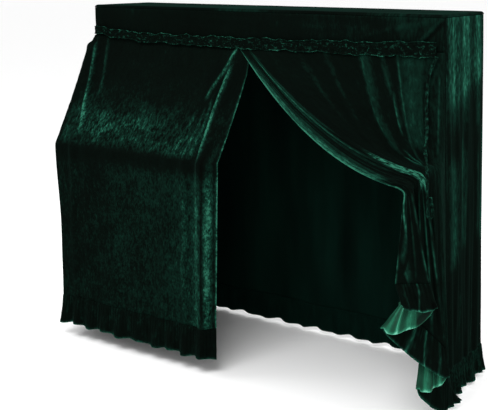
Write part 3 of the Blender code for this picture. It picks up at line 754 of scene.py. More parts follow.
# Folds of the left curtain's front, as bent lines in (x, z).
LEFT_CREASES = (
    # at the left end
    (((-0.748, 1.2), (-0.724, 1.105), (-0.71, 1.03), (-0.693, 0.95), (-0.662, 0.866),
      (-0.63, 0.78)), 0.009, 0.0065),
    (((-0.722, 1.19), (-0.697, 1.05), (-0.672, 0.93), (-0.645, 0.82)), 0.007, -0.0035),
    (((-0.702, 1.195), (-0.671, 1.11), (-0.648, 1.035), (-0.634, 0.941), (-0.605, 0.83)),
     0.008, 0.0038),
    # drawn from the top of the opening
    (((-0.046, 1.185), (-0.07, 1.11), (-0.098, 1.051), (-0.118, 0.99)), 0.009, 0.0055),
    (((-0.048, 1.13), (-0.055, 1.017), (-0.057, 0.966), (-0.053, 0.915), (-0.044, 0.852),
      (-0.04, 0.78)), 0.009, 0.007),
    (((-0.06, 1.08), (-0.078, 0.98), (-0.074, 0.9), (-0.066, 0.81)), 0.006, -0.004),
    (((-0.085, 1.03), (-0.08, 0.913), (-0.089, 0.8)), 0.006, 0.0035),
    (((-0.1, 0.98), (-0.099, 0.923), (-0.124, 0.795)), 0.006, 0.003),
    (((-0.13, 0.96), (-0.147, 0.897), (-0.17, 0.79)), 0.007, 0.0028),
    (((-0.15, 1.06), (-0.19, 0.96), (-0.225, 0.85)), 0.01, 0.002),
    # over the shelf and down from it
    (((-0.6, 0.87), (-0.48, 0.845), (-0.35, 0.85)), 0.012, 0.0016),
    (((-0.42, 0.885), (-0.3, 0.865), (-0.2, 0.86)), 0.01, 0.0018),
    (((-0.62, 0.765), (-0.4, 0.755), (-0.1, 0.765)), 0.012, -0.0026),
    (((-0.01, 0.87), (-0.012, 0.76), (-0.011, 0.44), (-0.012, 0.16)), 0.008, 0.004),
    (((-0.022, 0.85), (-0.026, 0.7), (-0.026, 0.44), (-0.026, 0.16)), 0.005, -0.003),
    (((-0.045, 0.8), (-0.046, 0.7), (-0.045, 0.44), (-0.046, 0.16)), 0.012, 0.0024),
    (((-0.105, 0.76), (-0.112, 0.5), (-0.108, 0.2)), 0.01, 0.0024),
    (((-0.64, 0.77), (-0.632, 0.5), (-0.628, 0.2)), 0.012, 0.003),
)
# Painted highlights along its folds and painted shade beside them, in the same coordinates.
LEFT_LIGHTS = (
    (((-0.748, 1.215), (-0.724, 1.105), (-0.71, 1.03), (-0.693, 0.95), (-0.662, 0.866),
      (-0.646, 0.82)), 0.007, 0.5),
    (((-0.702, 1.215), (-0.671, 1.11), (-0.648, 1.035), (-0.636, 0.96)), 0.007, 0.26),
    (((-0.044, 1.215), (-0.07, 1.11), (-0.098, 1.051), (-0.122, 0.98)), 0.007, 0.6),
    (((-0.049, 1.15), (-0.055, 1.017), (-0.057, 0.966), (-0.053, 0.915), (-0.044, 0.852),
      (-0.043, 0.77)), 0.009, 0.62),
    (((-0.085, 1.03), (-0.08, 0.913), (-0.089, 0.79)), 0.005, 0.34),
    (((-0.1, 0.99), (-0.099, 0.923), (-0.124, 0.785)), 0.005, 0.3),
    (((-0.13, 0.97), (-0.147, 0.897), (-0.17, 0.785)), 0.005, 0.26),
    (((0.0, 0.92), (-0.003, 0.8), (-0.004, 0.66), (-0.005, 0.44), (-0.006, 0.1)), 0.0085, 0.25),
    (((-0.006, 0.72), (-0.007, 0.58), (-0.007, 0.4), (-0.008, 0.1)), 0.006, 0.13),
    (((-0.046, 0.84), (-0.048, 0.66), (-0.047, 0.44), (-0.048, 0.1)), 0.018, 0.21),
    (((-0.11, 0.74), (-0.104, 0.58), (-0.108, 0.4), (-0.106, 0.2)), 0.012, 0.1),
    (((-0.016, 0.88), (-0.019, 0.8), (-0.02, 0.44), (-0.02, 0.1)), 0.004, -0.25),
    (((0.006, 0.82), (0.006, 0.66), (0.007, 0.44), (0.006, 0.1)), 0.004, -0.12),
)


def with_end_swell(row, z):
    """The row with its left end's belly below the trim added."""
    height = min(max((z - SHELF_HEIGHT) / (TRIM_FOOT - SHELF_HEIGHT), 0), 1.05)
    size = LEFT_END_SWELL * height * ease((TRIM_FOOT + 0.032 - z) / 0.05)
    reach = mix(0.012, 0.05, ease((TRIM_FOOT - z) / 0.08))
    result = []
    for p, (_, outward) in zip(row, directions(row)):
        share = hump(max(p.x + HALF, 0), 0.045) * ease((p - row[0]).length / reach)
        result.append(p + outward * size * share)
    return result


def left_grid():
    profile = rounded(((0, 0, CURTAIN_TOP), (-0.001, 0, TRIM_FOOT), (-SHELF_REACH, 0, SHELF_HEIGHT),
                       (-SHELF_REACH - 0.004, 0, LEFT_SEAM)), SHELF_RADIUS, (3, 52, 60), 6)
    rows = []
    for reach, _, z in profile:
        above = (TRIM_FOOT - z) / (TRIM_FOOT - SHELF_HEIGHT)
        sag = SLOPE_SAG * sin(pi * above) if 0 < above < 1 else 0
        rows.append(with_end_swell(left_plan(-reach - sag, z), z))
    return grid_of(rows)


def left_front(x):
    """1 on the front of the left curtain, 0 round its end."""
    return rise(x, -HALF - 0.004, -HALF + 0.006)


def left_relief(grid, u, v):
    x, z = grid[..., 0], grid[..., 2]
    slack = rise(z, 0.78, 0.83) * rise(z, 1.17, 1.09)
    push = creases(x, z, LEFT_CREASES) * left_front(x)
    push += 0.0014 * slack * field(u, v, (0.05, 0.03), 2.2, 4)
    push += 0.001 * (1 - slack) * field(u, v, (0.028, 0.3), 5.9, 3)
    push += free_edge(u.max() - u, 0.016, 0.0009, 0.0008)
    return push * rise(z, TRIM_FOOT + 0.006, TRIM_FOOT - 0.024) * rise(z, LEFT_SEAM, LEFT_SEAM + 0.01)


def left_pile(grid, u, v):
    """Tone and crush of the left curtain: a painted highlight on the slope over the shelf, mottled with
    crushed pile, and a fainter painted halo round it.
    """
    x, z = grid[..., 0], grid[..., 2]
    inner = rise(x, -0.775, -0.735)
    uneven = field(u, v, (0.09, 0.2), 4.8, 2)
    slope_highlight = (rise(z, 0.785, 0.815) * rise(z - 0.02 * uneven, 0.985, 0.875)
             * inner * rise(x, -0.01, -0.15) * (0.78 + 0.45 * field(u, v, (0.16, 0.06), 1.7, 2)))
    halo = rise(z, 0.8, 0.84) * rise(z, 1.075, 0.945) * inner * mix(0.35, 1, rise(x, -0.2, -0.45))
    below = rise(z, 0.77, 0.71)
    # Painted highlight on the slope over the shelf and a fainter painted halo round it, lighter below the
    # shelf towards the opening, and painted highlights along folds and the hem; the fields are random
    # crushed pile.
    pile_tone_and_painted_light = 0.18 + 0.255 * slope_highlight + 0.05 * field(u, v, (0.1, 0.1), 3.3, 2)
    pile_tone_and_painted_light += halo * (0.075 + 0.06 * field(u, v, (0.05, 0.05), 6.4, 3))
    pile_tone_and_painted_light += below * (0.06 + 0.08 * rise(x, -0.6, -0.35) + 0.08 * rise(x, -0.25, -0.1))
    pile_tone_and_painted_light += creases(x, z, LEFT_LIGHTS) * left_front(x) + painted_hem_highlight(u.max() - u)
    return pile_tone_and_painted_light, 0.4 * slope_highlight + 0.1 * below + 0.1 * halo


def left_curtain():
    grid = left_grid()
    u, v = cloth_coordinates(grid)
    grid = pushed(grid, left_relief(grid, u, v))
    pile_tone_and_painted_light, crush = left_pile(grid, u, v)
    piece = sheet_piece("left_curtain", grid, pile_tone_and_painted_light, CLOSED, crush=crush)
    return grid


# --------------------------------------------------------- right curtain
def on_fold(fold, q):
    """Place at q along one fold of the right curtain."""
    heading, power, waist, seam, _ = fold
    if q > 1:
        return Vector(waist).lerp(Vector(seam), q - 1)
    drop = 1 - (1 - q) ** power
    forward = q - TRIM_HOLD * (1 - q) * (1 - exp(-q / TRIM_HOLD))
    return Vector((mix(heading[0], waist[0], q), mix(heading[1], waist[1], forward),
                   mix(CURTAIN_TOP, waist[2], drop)))


def right_fold_points(q):
    """Fold points at q: 0 is the heading, 1 the waist, 2 the flounce seam."""
    if abs(q - 1) < WAIST_BEND:
        t = (q - 1 + WAIST_BEND) / (2 * WAIST_BEND)
        points = [on_fold(fold, 1 - WAIST_BEND) * (1 - t) ** 2 + Vector(fold[2]) * (2 * t * (1 - t))
                  + on_fold(fold, 1 + WAIST_BEND) * t ** 2 for fold in RIGHT_FOLDS]
    else:
        points = [on_fold(fold, q) for fold in RIGHT_FOLDS]
    points[-1].x = front_seam_x(1, points[-1].z)
    return points


SOFT_FOLD_FACING = Vector((0.5, -0.85, 0))    # the way they stand out
SOFT_FOLD_FADE = 0.04     # height above the waist over which they fade out
RIGHT_STEPS = (30, 16, 34, 60, 44, 10)
RIGHT_CORNER_STEPS = 8
RIGHT_STATIONS = ([i / 60 * 0.9 for i in range(60)] + [0.9 + 0.2 * i / 24 for i in range(24)]
                  + [1.1 + 0.9 * i / 50 for i in range(51)])


def right_layers():
    """Layer number and share across it of every column of the right curtain."""
    result = [0.0]
    for number, count in enumerate(RIGHT_STEPS):
        result += [number + (i + 1) / count for i in range(count)]
        result += [number + 1.0] * (RIGHT_CORNER_STEPS if number < len(RIGHT_STEPS) - 1 else 0)
    return result


# Folds of the right curtain, and painted highlights on it, as bent lines in (layer, q).
RIGHT_CREASES = (
    (((2.5, 0.05), (2.48, 0.35), (2.45, 0.7), (2.5, 0.95)), 0.16, 0.003),
    (((4.11, -0.05), (4.13, 0.12), (4.12, 0.25), (4.16, 0.42)), 0.05, 0.006),
    (((4.29, -0.05), (4.36, 0.08), (4.42, 0.16)), 0.03, 0.004),
    (((4.42, 0.17), (4.415, 0.25), (4.4, 0.36)), 0.012, 0.004),
    (((4.54, -0.05), (4.53, 0.2), (4.51, 0.4)), 0.016, 0.0035),
    (((4.67, -0.05), (4.65, 0.2), (4.62, 0.42)), 0.07, 0.006),
    (((3.45, -0.05), (3.52, 0.25), (3.6, 0.5)), 0.06, 0.003),
    (((3.72, -0.05), (3.76, 0.25), (3.8, 0.45)), 0.05, 0.003),
    (((4.3, 0.52), (4.36, 0.66), (4.4, 0.8)), 0.02, 0.005),
    (((4.2, 0.6), (4.26, 0.74), (4.32, 0.9)), 0.02, 0.005),
    (((4.52, 0.5), (4.5, 0.66), (4.46, 0.78)), 0.016, 0.004),
    (((0.15, 1.02), (0.17, 1.2), (0.34, 1.42)), 0.06, 0.004),
    (((0.32, 1.46), (0.26, 1.58), (0.15, 1.72)), 0.06, 0.0035),
    (((0.62, 1.1), (0.66, 1.5), (0.62, 1.97)), 0.06, 0.0035),
    (((0.86, 1.2), (0.84, 1.6), (0.88, 1.97)), 0.04, -0.0025),
    (((2.7, 1.12), (2.74, 1.5), (2.7, 1.97)), 0.05, 0.004),
    (((2.86, 1.12), (2.88, 1.5), (2.86, 1.97)), 0.03, -0.003),
)
RIGHT_LIGHTS = (
    (((2.5, 0.02), (2.48, 0.35), (2.5, 0.8)), 0.1, 0.36),
    (((4.1, -0.2), (4.13, 0.12), (4.12, 0.25), (4.18, 0.62)), 0.065, 0.27),
    (((4.08, -0.2), (4.1, 0.12), (4.09, 0.25), (4.14, 0.5)), 0.016, 0.18),
    (((4.28, -0.2), (4.36, 0.08), (4.42, 0.2)), 0.034, 0.24),
    (((4.42, 0.13), (4.415, 0.25), (4.4, 0.4)), 0.014, 0.62),
    (((4.53, -0.2), (4.52, 0.2), (4.5, 0.56)), 0.016, 0.3),
    (((4.66, -0.2), (4.65, 0.2), (4.6, 0.58)), 0.11, 0.25),
    (((4.78, -0.2), (4.77, 0.2), (4.72, 0.5)), 0.03, 0.14),
    (((3.45, -0.15), (3.52, 0.15), (3.58, 0.4)), 0.04, 0.12),
    (((3.74, -0.15), (3.78, 0.15), (3.82, 0.4)), 0.03, 0.12),
    (((4.3, 0.5), (4.36, 0.66), (4.4, 0.84)), 0.018, 0.45),
    (((4.2, 0.58), (4.26, 0.74), (4.32, 0.92)), 0.018, 0.45),
    (((4.52, 0.48), (4.5, 0.66), (4.46, 0.82)), 0.014, 0.35),
    (((0.14, 0.92), (0.17, 1.2), (0.36, 1.48)), 0.055, 0.68),
    (((0.1, 0.9), (0.16, 1.04), (0.2, 1.16)), 0.12, 0.22),
    (((0.3, 1.0), (0.34, 1.18), (0.4, 1.34)), 0.03, 0.4),
    (((0.34, 1.38), (0.26, 1.6), (0.14, 1.8)), 0.08, 0.4),
    (((0.3, 1.82), (0.36, 1.88), (0.3, 1.95)), 0.12, 0.35),
    (((0.62, 1.0), (0.66, 1.5), (0.62, 2.05)), 0.04, 0.24),
    (((2.4, 1.0), (2.45, 1.4), (2.5, 1.8)), 0.03, 0.4),
    (((2.7, 1.0), (2.74, 1.5), (2.7, 2.05)), 0.04, 0.4),
    (((3.3, 1.4), (3.34, 1.66), (3.3, 1.95)), 0.09, 0.3),
)


def evened(grid, q, weight):
    """Grid and its q with each column's points moved towards even spacing by its weight."""
    grid, q = grid.copy(), q.copy()
    for column in range(grid.shape[1]):
        points = grid[:, column].copy()
        lengths = lengths_along(points)
        places = mix(lengths, np.linspace(0, lengths[-1], len(lengths)), weight[column])
        grid[:, column] = at_lengths(points, places)
        q[:, column] = np.interp(places, lengths, q[:, column])
    return grid, q


def right_row(q):
    return pleated(right_fold_points(q), FOLD_RADIUS, RIGHT_STEPS, RIGHT_CORNER_STEPS)


def right_grid(layers):
    """The right curtain with its soft folds, which fade out above the waist."""
    waist = right_row(1)
    rows = []
    for q in RIGHT_STATIONS:
        folds = RIGHT_SOFT_FOLDS if q < 1 else TAIL_SOFT_FOLDS
        strength = abs(sin(pi * q)) ** 0.6
        row = []
        for place, p, held in zip(layers, right_row(q), waist):
            push = sum(height * hump(place - layer - share, width)
                       for layer, share, width, height in folds)
            push *= ease((p.z - held.z) / SOFT_FOLD_FADE) if q < 1 else 1
            row.append(p + SOFT_FOLD_FACING * push * strength)
        rows.append(row)
    return grid_of(rows)


def right_areas(layer, q):
    """How far each point belongs to the swag, the tail, the gather between them and the cheek."""
    cheek = rise(layer, 4.74, 4.94)
    swag = rise(q, 0.04, 0.16) * rise(q, 1.04, 0.94) * (1 - cheek)
    tail = rise(q, mix(1.0, 0.2, cheek), mix(1.15, 0.8, cheek)) * rise(q, 2, 1.94)
    gather = hump(q - 0.97, 0.09) * (1 - cheek)
    return swag, tail, gather, cheek


def right_relief(layer, q, u, z):
    swag, tail, gather, _ = right_areas(layer, q)
    push = 0.0014 * swag * np.sin(2 * pi * (layer * 2.1 + 0.25 * np.sin(5 * q))) * rise(layer, 0, 0.4)
    push += creases(layer, q, RIGHT_CREASES)
    push += 0.003 * gather * field(layer * 0.16, q * 0.8, (0.022, 0.03), 8.1, 3)
    push += 0.002 * (swag * 0.5 + gather) * field(layer * 0.1, q * 0.9, (0.016, 0.35), 3.7, 3)
    push += 0.0024 * tail * field(layer * 0.12, z, (0.014, 0.34), 6.3, 3)
    push += free_edge(u, 0.014, 0.0007, 0.0006)
    return push * rise(q, 0.03, 0.08)


def right_pile(layer, q, u, v, z, fold_line):
    """Tone and crush of the right curtain: painted highlights on its folds, fold lines, leading hem
    facet, the crumple above the gather and the upper cheek, over random crushed pile. fold_line marks the
    line of a fold, by its number.
    """
    swag, tail, gather, cheek = right_areas(layer, q)
    pile_tone_and_painted_light = 0.19 + 0.035 * swag * rise(layer, 4.1, 4.4) + 0.04 * field(u, v, (0.05, 0.3), 2.9, 3)
    pile_tone_and_painted_light += 0.045 * tail * rise(layer, 2.9, 3.2) + creases(layer, q, RIGHT_LIGHTS)
    # Painted highlight on the facet of the leading layer, with random lighter streaks on the middle
    # layers.
    facet = rise(q, 0.03, 0.13) * rise(q, 0.93, 0.83)
    streaks = rise(field(layer * 0.5, q * 0.3, (0.03, 0.3), 5.3, 2), -0.3125, 0.3125)
    streaks *= mix(0.42, 0.22, rise(q, 0.3, 0.6)) * (layer > 1.5) * rise(layer, 2.9, 2.8)
    pile_tone_and_painted_light += facet * (0.5 * rise(layer, 1.05, 0.95) + streaks)
    pile_tone_and_painted_light += 0.3 * fold_line(3, 0.004) * rise(q, 0.02, 0.07) * rise(q, 0.64, 0.44)
    pile_tone_and_painted_light += 0.22 * fold_line(5, 0.003) * rise(q, 0.02, 0.12) * rise(q, 0.7, 0.4)
    broken = 0.25 + 0.85 * rise(1.8 * field(layer * 0.02, q * 0.6, (0.05, 0.1), 2.7, 2), -0.5, 0.5)
    pile_tone_and_painted_light += 0.42 * tail * broken * (fold_line(1, 0.0035) + fold_line(3, 0.0035))
    pile_tone_and_painted_light += 0.5 * broken * fold_line(0, 0.004)
    # Painted highlight on the crumple of the fold above the gather, which is also mottled.
    first = mix(2.86, 2.4, rise(q, 0.66, 0.92))
    crumple_highlight = (rise(q, 0.66, 0.78) * rise(q, 1.12, 1.02) * rise(layer, first, first + 0.2)
                * rise(layer, 3.1, 3.04))
    pile_tone_and_painted_light += mix(0.52, 0.62, rise(q, 0.78, 0.88)) * crumple_highlight
    pile_tone_and_painted_light += 0.1 * gather * rise(layer, 4.0, 4.3) + cheek * (0.06 + 0.07 * rise(z, 0.92, 1.04))
    return pile_tone_and_painted_light, 0.03 + 0.8 * crumple_highlight + 0.14 * gather


def right_curtain():
    layers = np.array(right_layers())
    layer, q = np.meshgrid(layers, RIGHT_STATIONS)
    grid, q = evened(right_grid(layers), q, 0.6 * rise(layers, 3.5, 4.3))
    u, v = cloth_coordinates(grid)
    run = lengths_along(grid.swapaxes(0, 1)).T
    grid = pushed(grid, right_relief(layer, q, u, grid[..., 2]))

    def fold_line(number, width):
        column = int(np.argmin(np.abs(layers - number)))
        return hump(run - run[:, column:column + 1], width)

    pile_tone_and_painted_light, crush = right_pile(layer, q, u, v, grid[..., 2], fold_line)
    piece = sheet_piece("right_curtain", grid, pile_tone_and_painted_light, BOTH, crush=crush, by_column=True)
    return grid


# --------------------------------------------------------------- flounces
RIB_SPACING = 0.014       # between the gathers of a frill
RIB_HEIGHT = 0.0024
RIB_LIGHT = 40            # painted highlight on the ribs: tone for each metre that a rib stands out
FRILL_TUCK = 0.0026       # how far behind its panel a frill's top is sewn


def lowered(line, z, out=0.0):
    """The same plan line at height z, moved outwards by out."""
    return [Vector((p.x, p.y, z)) + outward * out for p, (_, outward) in zip(line, directions(line))]


def finish_frill(name, grid, seam, pile_tone_and_painted_light, materials=CLOSED, place=None, lights=()):
    """Joins a frill to its panel's bottom edge, gathers it and makes the piece.

    Its top is tucked up behind the panel, as a sewn seam is. The lights are painted highlights and
    painted shade, as bent lines in (place along the frill, share of the way down).
    """
    level = np.linspace(0, 1, len(grid))[:, None]
    grid = grid + (seam - grid[0])[None] * ((1 - level) ** 2)[..., None]
    u, v = cloth_coordinates(grid)
    seed = len(name) * 0.7
    wander = 0.6 * field(u, v * 0.15, (4 * RIB_SPACING, 0.2), seed, 2)
    ribs = np.sin(2 * pi * (u / RIB_SPACING + wander))
    uneven = 0.7 + 0.5 * field(u, v * 0.1, (0.05, 1), len(name) * 1.3, 2)
    push = ribs * uneven * RIB_HEIGHT * (1 - 0.7 * level) * rise(level, 0, 0.05)
    push += 0.0018 * level * field(u, v, (0.02, 0.05), seed + 3, 3)
    push *= rise(from_ends(u), 0, 0.012)
    push += 0.0006 * rise(v.max() - v, 0.01, 0.007)
    outward = outward_of(grid)
    grid = grid + outward * push[..., None]
    tucked = grid[0] - outward[0] * FRILL_TUCK
    grid = np.concatenate(([tucked + (0, 0, 0.008), tucked + (0, 0, 0.002)], grid[1:]))
    u, v = cloth_coordinates(grid)
    push = np.pad(push[1:], ((2, 0), (0, 0)), mode="edge")
    # Painted highlights on the ribs that stand out and along the hem, over random tone.
    light = pile_tone_and_painted_light + RIB_LIGHT * np.maximum(push, 0) + 0.1 * field(u, v, (0.03, 0.06), 4.2, 3)
    light += painted_hem_highlight(v.max() - v)
    if place is not None:
        light += creases(np.broadcast_to(place, u.shape), v / v.max(axis=0), lights)
    piece = sheet_piece(name, grid, light, materials)


def flounce(name, seam_line, hem_line, panel, waves, depth, rows=14, per_wave=26,
            pile_tone_and_painted_light=0.2):
    """A gathered frill between a panel's bottom edge and a hem line."""
    count = round(waves * per_wave)
    seam, hem = spread(seam_line, count), spread(hem_line, count)
    result = []
    for level in range(rows + 1):
        t = level / rows
        middle = [mix(a, b, t) for a, b in zip(seam, hem)]
        row = []
        for i, (p, (_, outward)) in enumerate(zip(middle, directions(middle))):
            s = i / count
            turn = 2 * pi * waves * s + 0.9 * sin(2 * pi * 2.3 * s + 1)
            size = mix(0.12, 1, t) * depth * (0.8 + 0.2 * sin(2 * pi * 3.7 * s + 2))
            ends = ease(s / 0.03) * ease((1 - s) / 0.03)
            row.append(p + outward * size * sin(turn) * ends
                       + Vector((0, 0, 0.004 * t * sin(0.5 * turn + 1))))
        result.append(row)
    finish_frill(name, grid_of(result), resampled(panel[-1], count), pile_tone_and_painted_light)


def side_flounces(panels):
    for side, end in SIDES:
        line = rounded(side_line(side, SIDE_SEAM), CORNER_RADIUS, (12, 1))[::side]
        flounce("flounce_side_" + end, lowered(line, SIDE_SEAM - SEAM_GAP),
                lowered(line, SIDE_HEM, 0.014), panels[side], 5.5, 0.011,
                pile_tone_and_painted_light=0.27)


def back_flounce(panel):
    end = side_line(1, SIDE_SEAM)[2]
    edge = end[0] - SEAM_GAP
    back = [Vector((mix(edge, -edge, i / 10), end[1], 0)) for i in range(11)]
    flounce("flounce_back", lowered(back, SIDE_SEAM - SEAM_GAP), lowered(back, SIDE_HEM, 0.006),
            panel, 18, 0.012, rows=12, per_wave=20)


def left_flounce(panel):
    line = left_plan(SHELF_REACH + 0.004, LEFT_SEAM, 26)
    flounce("flounce_left_curtain", lowered(line, LEFT_SEAM - FRILL_GAP),
            lowered(line, LEFT_HEM, 0.008), panel, 13, 0.012)


def between(line):
    """The line with a sample added half way between each two."""
    result = np.repeat(line, 2, axis=0)[:-1]
    result[1::2] = (line[:-1] + line[1:]) / 2
    return result


# Painted highlights and painted shade of the cascade, in (layer, share of the way down).
CASCADE_LIGHTS = (
    (((0.62, -0.3), (0.64, 0.3), (0.47, 1.3)), 0.024, 0.45),
    (((0.25, -0.3), (0.22, 0.4), (0.26, 1.3)), 0.03, 0.2),
    (((0.2, 1.02), (0.5, 1.0), (1.2, 1.02)), 0.06, 0.45),
    (((0.9, 0.94), (1.16, 0.9), (1.4, 0.94)), 0.17, -0.42),
    (((1.47, 0.1), (1.5, 0.6), (1.48, 1.4)), 0.08, 0.5),
    (((1.37, 0.2), (1.38, 0.6), (1.37, 1.3)), 0.025, 0.26),
    (((1.8, -0.3), (1.78, 0.5), (1.74, 1.4)), 0.035, 0.62),
    (((1.94, -0.3), (1.95, 0.5), (1.93, 1.3)), 0.04, 0.4),
    (((2.35, -0.2), (2.38, 0.5), (2.33, 1.2)), 0.022, 0.4),
    (((2.58, -0.2), (2.6, 0.5), (2.66, 1.3)), 0.022, 0.5),
    (((2.86, -0.2), (2.88, 0.5), (2.84, 1.2)), 0.02, 0.3),
    (((3.25, -0.3), (3.22, 0.5), (3.26, 1.3)), 0.07, 0.5),
    (((3.42, -0.2), (3.46, 0.5), (3.4, 1.3)), 0.03, 0.4),
    (((3.75, -0.3), (3.78, 0.5), (3.74, 1.3)), 0.11, 0.32),
)


def right_flounce(panel):
    """The frill of the right curtain, which falls in a cascade of its folds."""
    seam_points = [p - Vector((0, 0, FRILL_GAP)) for p in right_fold_points(2)]
    hem_points = [Vector(fold[4]) for fold in RIGHT_FOLDS]
    layers = right_layers()
    rows, levels = [], 24
    for level in range(levels + 1):
        t = level / levels
        points = [mix(a, b, t) for a, b in zip(seam_points, hem_points)]
        points[-1].y = mix(SLANTED_WRAP - FRILL_GAP, hem_points[-1].y, t ** 3)
        line = pleated(points, mix(FOLD_RADIUS, FOLD_RADIUS_AT_HEM, t), RIGHT_STEPS,
                       RIGHT_CORNER_STEPS)
        row = []
        for layer, p, (_, outward) in zip(layers, line, directions(line)):
            number, share = divmod(layer, 1)
            ripple = 0.008 * t * sin(4 * pi * share + number) * sin(pi * share)
            sag = FRILL_SAGS[int(number)] * t * t * sin(pi * share) ** 0.4 if share else 0
            row.append(p + outward * ripple - Vector((0, 0, sag)))
        rows.append(row)
    grid = np.array([between(row) for row in grid_of(rows)])
    finish_frill("flounce_right_curtain", grid, between(panel[-1]), 0.2,
                 BOTH, place=between(np.array(layers)),
                 lights=CASCADE_LIGHTS)


# ------------------------------------------------------------------- trim
TRIM_STANDS_OUT = 0.013  # in front of the case


def trim_point(x, level):
    """Place, and share of a ridge, at a level from the trim's upper edge (0) to its lower (1)."""
    edge = abs(2 * level - 1)
    side = 1 if level > 0.5 else -1
    crumple = noise.fractal(Vector((x / 0.017, 3.0 * level, 1.5)), 1.0, 2.0, 3)
    ruffle = noise.fractal(Vector((x / 0.024, side * 3, 9.5)), 1.0, 2.0, 2)
    loose = noise.noise(Vector((x / 0.04, side * 2, 7.5)))
    wander = noise.fractal(Vector((x / 0.028, 3.4 * level, 8.2)), 1.0, 2.0, 3)
    ridge = hump(wander, 0.1)
    out = mix(-0.002, 0.0012, edge ** 6) + mix(0.0028, 0.0014, edge) * crumple
    out += 0.003 * edge ** 4 * ruffle - 0.0014 * hump(edge - 0.72, 0.08)
    out += 0.0016 * ridge * (1 - edge ** 4)
    lift = (0.0075 * loose + 0.0036 * ruffle) * edge ** 2
    lift += 0.0016 * noise.noise(Vector((x / 0.015, 5 * level, 4.4)))
    z = mix(along_table(x, TRIM_EDGES, 1), along_table(x, TRIM_EDGES, 2), level) + lift
    return Vector((x + 0.002 * crumple, -TRIM_STANDS_OUT - out, z)), ridge


def ruched_trim():
    """Shirred strip: its two free edges stand out and wander, crumples lie between."""
    rows, ridges = [], []
    for level in np.linspace(0, 1, 21).tolist():
        samples = [trim_point(x, level)
                   for x in np.linspace(TRIM_EDGES[0][0], TRIM_EDGES[-1][0], 1301).tolist()]
        rows.append([point for point, _ in samples])
        ridges.append([ridge for _, ridge in samples])
    grid = grid_of(rows)
    u, v = cloth_coordinates(grid)
    edge = np.abs(2 * v / v.max() - 1)
    broken = rise(0.55 + 1.1 * field(u, v, (0.022, 0.012), 6.1, 3), 0, 1)
    # Painted highlights along the trim's two free edges and on its crumple ridges, broken up at random.
    pile_tone_and_painted_light = 0.18 + 0.5 * (0.35 + broken) * hump(1 - edge, 0.08)
    pile_tone_and_painted_light += 0.46 * np.array(ridges) * broken * (1 - edge ** 6)
    piece = sheet_piece("ruched_trim", grid, pile_tone_and_painted_light, (PILE,), 0.0016)


# -------------------------------------------------------------------- tie
TIE_FINENESS = 5          # samples for each pucker
TIE_LOOP_PUCKERS = (7, 6)     # round the foot of the loop, and up from there to its end


def tie_line():
    """The middle of the strap along its route, round the foot of its loop and up again."""
    up, aside = Vector((0, 0, 1)), Vector((0, 0, 1)).cross(Vector(TIE_FACING).normalized())
    round_steps, rising_steps = (count * TIE_FINENESS for count in TIE_LOOP_PUCKERS)
    line = spread(rounded(TIE_ROUTE, 0.03, (1,) * (len(TIE_ROUTE) - 1)), TIE_SAMPLES * TIE_FINENESS)
    centre = line[-1] + aside * TIE_LOOP_RADIUS
    for i in range(1, round_steps + 1):
        turn = pi * i / round_steps
        line.append(centre - (aside * cos(turn) + up * sin(turn)) * TIE_LOOP_RADIUS)
    top = line[-1]
    for i in range(1, rising_steps + 1):
        t = i / rising_steps
        line.append(top + up * TIE_LOOP_LENGTH * t - aside * TIE_LOOP_CLOSING * ease(t))
    return line


def tie_strap():
    """Narrow scalloped strap along its route, ending in a loop that hangs open."""
    facing = Vector(TIE_FACING).normalized()
    line = tie_line()
    rows = []
    for i, (p, (along, _)) in enumerate(zip(line, directions(line))):
        place = i / TIE_FINENESS
        twist = TIE_TWIST * ease((place - TIE_SAMPLES + 10) / 8)
        across = along.cross(facing).normalized() * cos(twist) + facing * sin(twist)
        half = TIE_WIDTH / 2 * (0.9 + 0.12 * cos(pi * place) + 0.1 * sin(0.9 * place))
        rows.append([p + across * half * mix(-1, 1, k / 6) for k in range(7)])
    grid = grid_of(rows)
    u, v = cloth_coordinates(grid)
    grid = pushed(grid, 0.0007 * np.sin(2 * pi * v / 0.012) * np.cos(pi * (u / u.max() - 0.5)))
    # Painted highlight at the strap's two ends, over random tone.
    pile_tone_and_painted_light = 0.4 + 0.35 * field(u, v, (0.01, 0.012), 3.9, 2) + 0.45 * hump(from_ends(v), 0.0015)
    piece = sheet_piece("tie_strap", grid, pile_tone_and_painted_light, (PILE,), TIE_THICKNESS)


top_panel()
front_band()
side_flounces({side: side_panel("side_panel_" + end, side) for side, end in SIDES})
back_flounce(back_panel())
left_flounce(left_curtain())
right_flounce(right_curtain())
ruched_trim()
tie_strap()

# ------------------------------------------------------ floor, light, camera
FLOOR_Z = -ORIGIN.z
FLOOR_REACH = 80.0
FLOOR_COLOUR = (0.92, 0.92, 0.92, 1)

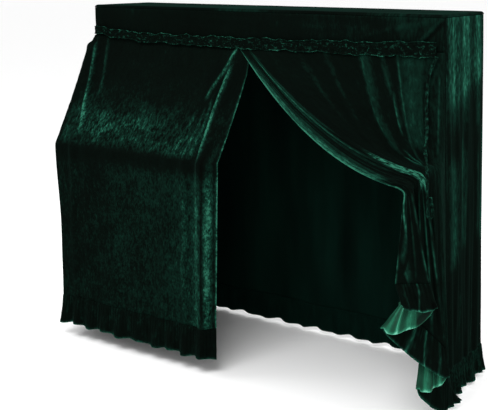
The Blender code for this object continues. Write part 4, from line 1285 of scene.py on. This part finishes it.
mesh = bpy.data.meshes.new("floor")
corners = ((-1, -1), (1, -1), (1, 1), (-1, 1))
mesh.from_pydata([(x * FLOOR_REACH, y * FLOOR_REACH, FLOOR_Z) for x, y in corners], [], [(0, 1, 2, 3)])
pale = bpy.data.materials.new("pale_floor")
pale.use_nodes = True
feed(pale.node_tree.nodes["Principled BSDF"], {"Base Color": FLOOR_COLOUR, "Roughness": 0.9})
mesh.materials.append(pale)
floor = bpy.data.objects.new("floor", mesh)
bpy.context.scene.collection.objects.link(floor)

# name, place, target, size, power
SOFTBOXES = (
    ("key", (0.6, -3.2, 3.2), (0, 0, -0.4), (3.0, 2.0), 170),
    ("right", (4.2, 0.4, 1.6), (0.6, 0, -0.4), (2.0, 2.0), 90),
    ("left", (-3.8, -2.2, 1.8), (-0.4, 0, -0.4), (2.0, 2.0), 60),
)
for name, place, target, size, power in SOFTBOXES:
    lamp = bpy.data.lights.new(name, "AREA")
    lamp.shape = "RECTANGLE"
    lamp.size, lamp.size_y = size
    lamp.energy = power
    holder = bpy.data.objects.new(name, lamp)
    holder.location = place
    holder.rotation_euler = (Vector(target) - Vector(place)).to_track_quat("-Z", "Y").to_euler()
    bpy.context.scene.collection.objects.link(holder)

world = bpy.data.worlds.new("studio")
world.use_nodes = True
feed(world.node_tree.nodes["Background"], {"Color": (1, 1, 1, 1), "Strength": 1.05})
bpy.context.scene.world = world
bpy.context.scene.view_settings.view_transform = "Standard"

# The camera stands where the photograph was taken from.
CAMERA_PLACE = Vector((2.202, -3.112, 1.481))   # in the room
YAW, PITCH = radians(35.55), radians(11.43)
SENSOR = 36
FOCAL_PX, WIDTH_PX, HEIGHT_PX, CENTRE_Y_PX = 1037, 488, 410, 175
camera = bpy.data.objects.new("camera", bpy.data.cameras.new("camera"))
camera.location = CAMERA_PLACE - ORIGIN
view = Vector((-sin(YAW) * cos(PITCH), cos(YAW) * cos(PITCH), -sin(PITCH)))
camera.rotation_euler = view.to_track_quat("-Z", "Y").to_euler()
camera.data.sensor_fit = "HORIZONTAL"
camera.data.sensor_width = SENSOR
camera.data.lens = SENSOR * FOCAL_PX / WIDTH_PX
camera.data.shift_y = (CENTRE_Y_PX - HEIGHT_PX / 2) / WIDTH_PX
bpy.context.scene.collection.objects.link(camera)
bpy.context.scene.camera = camera
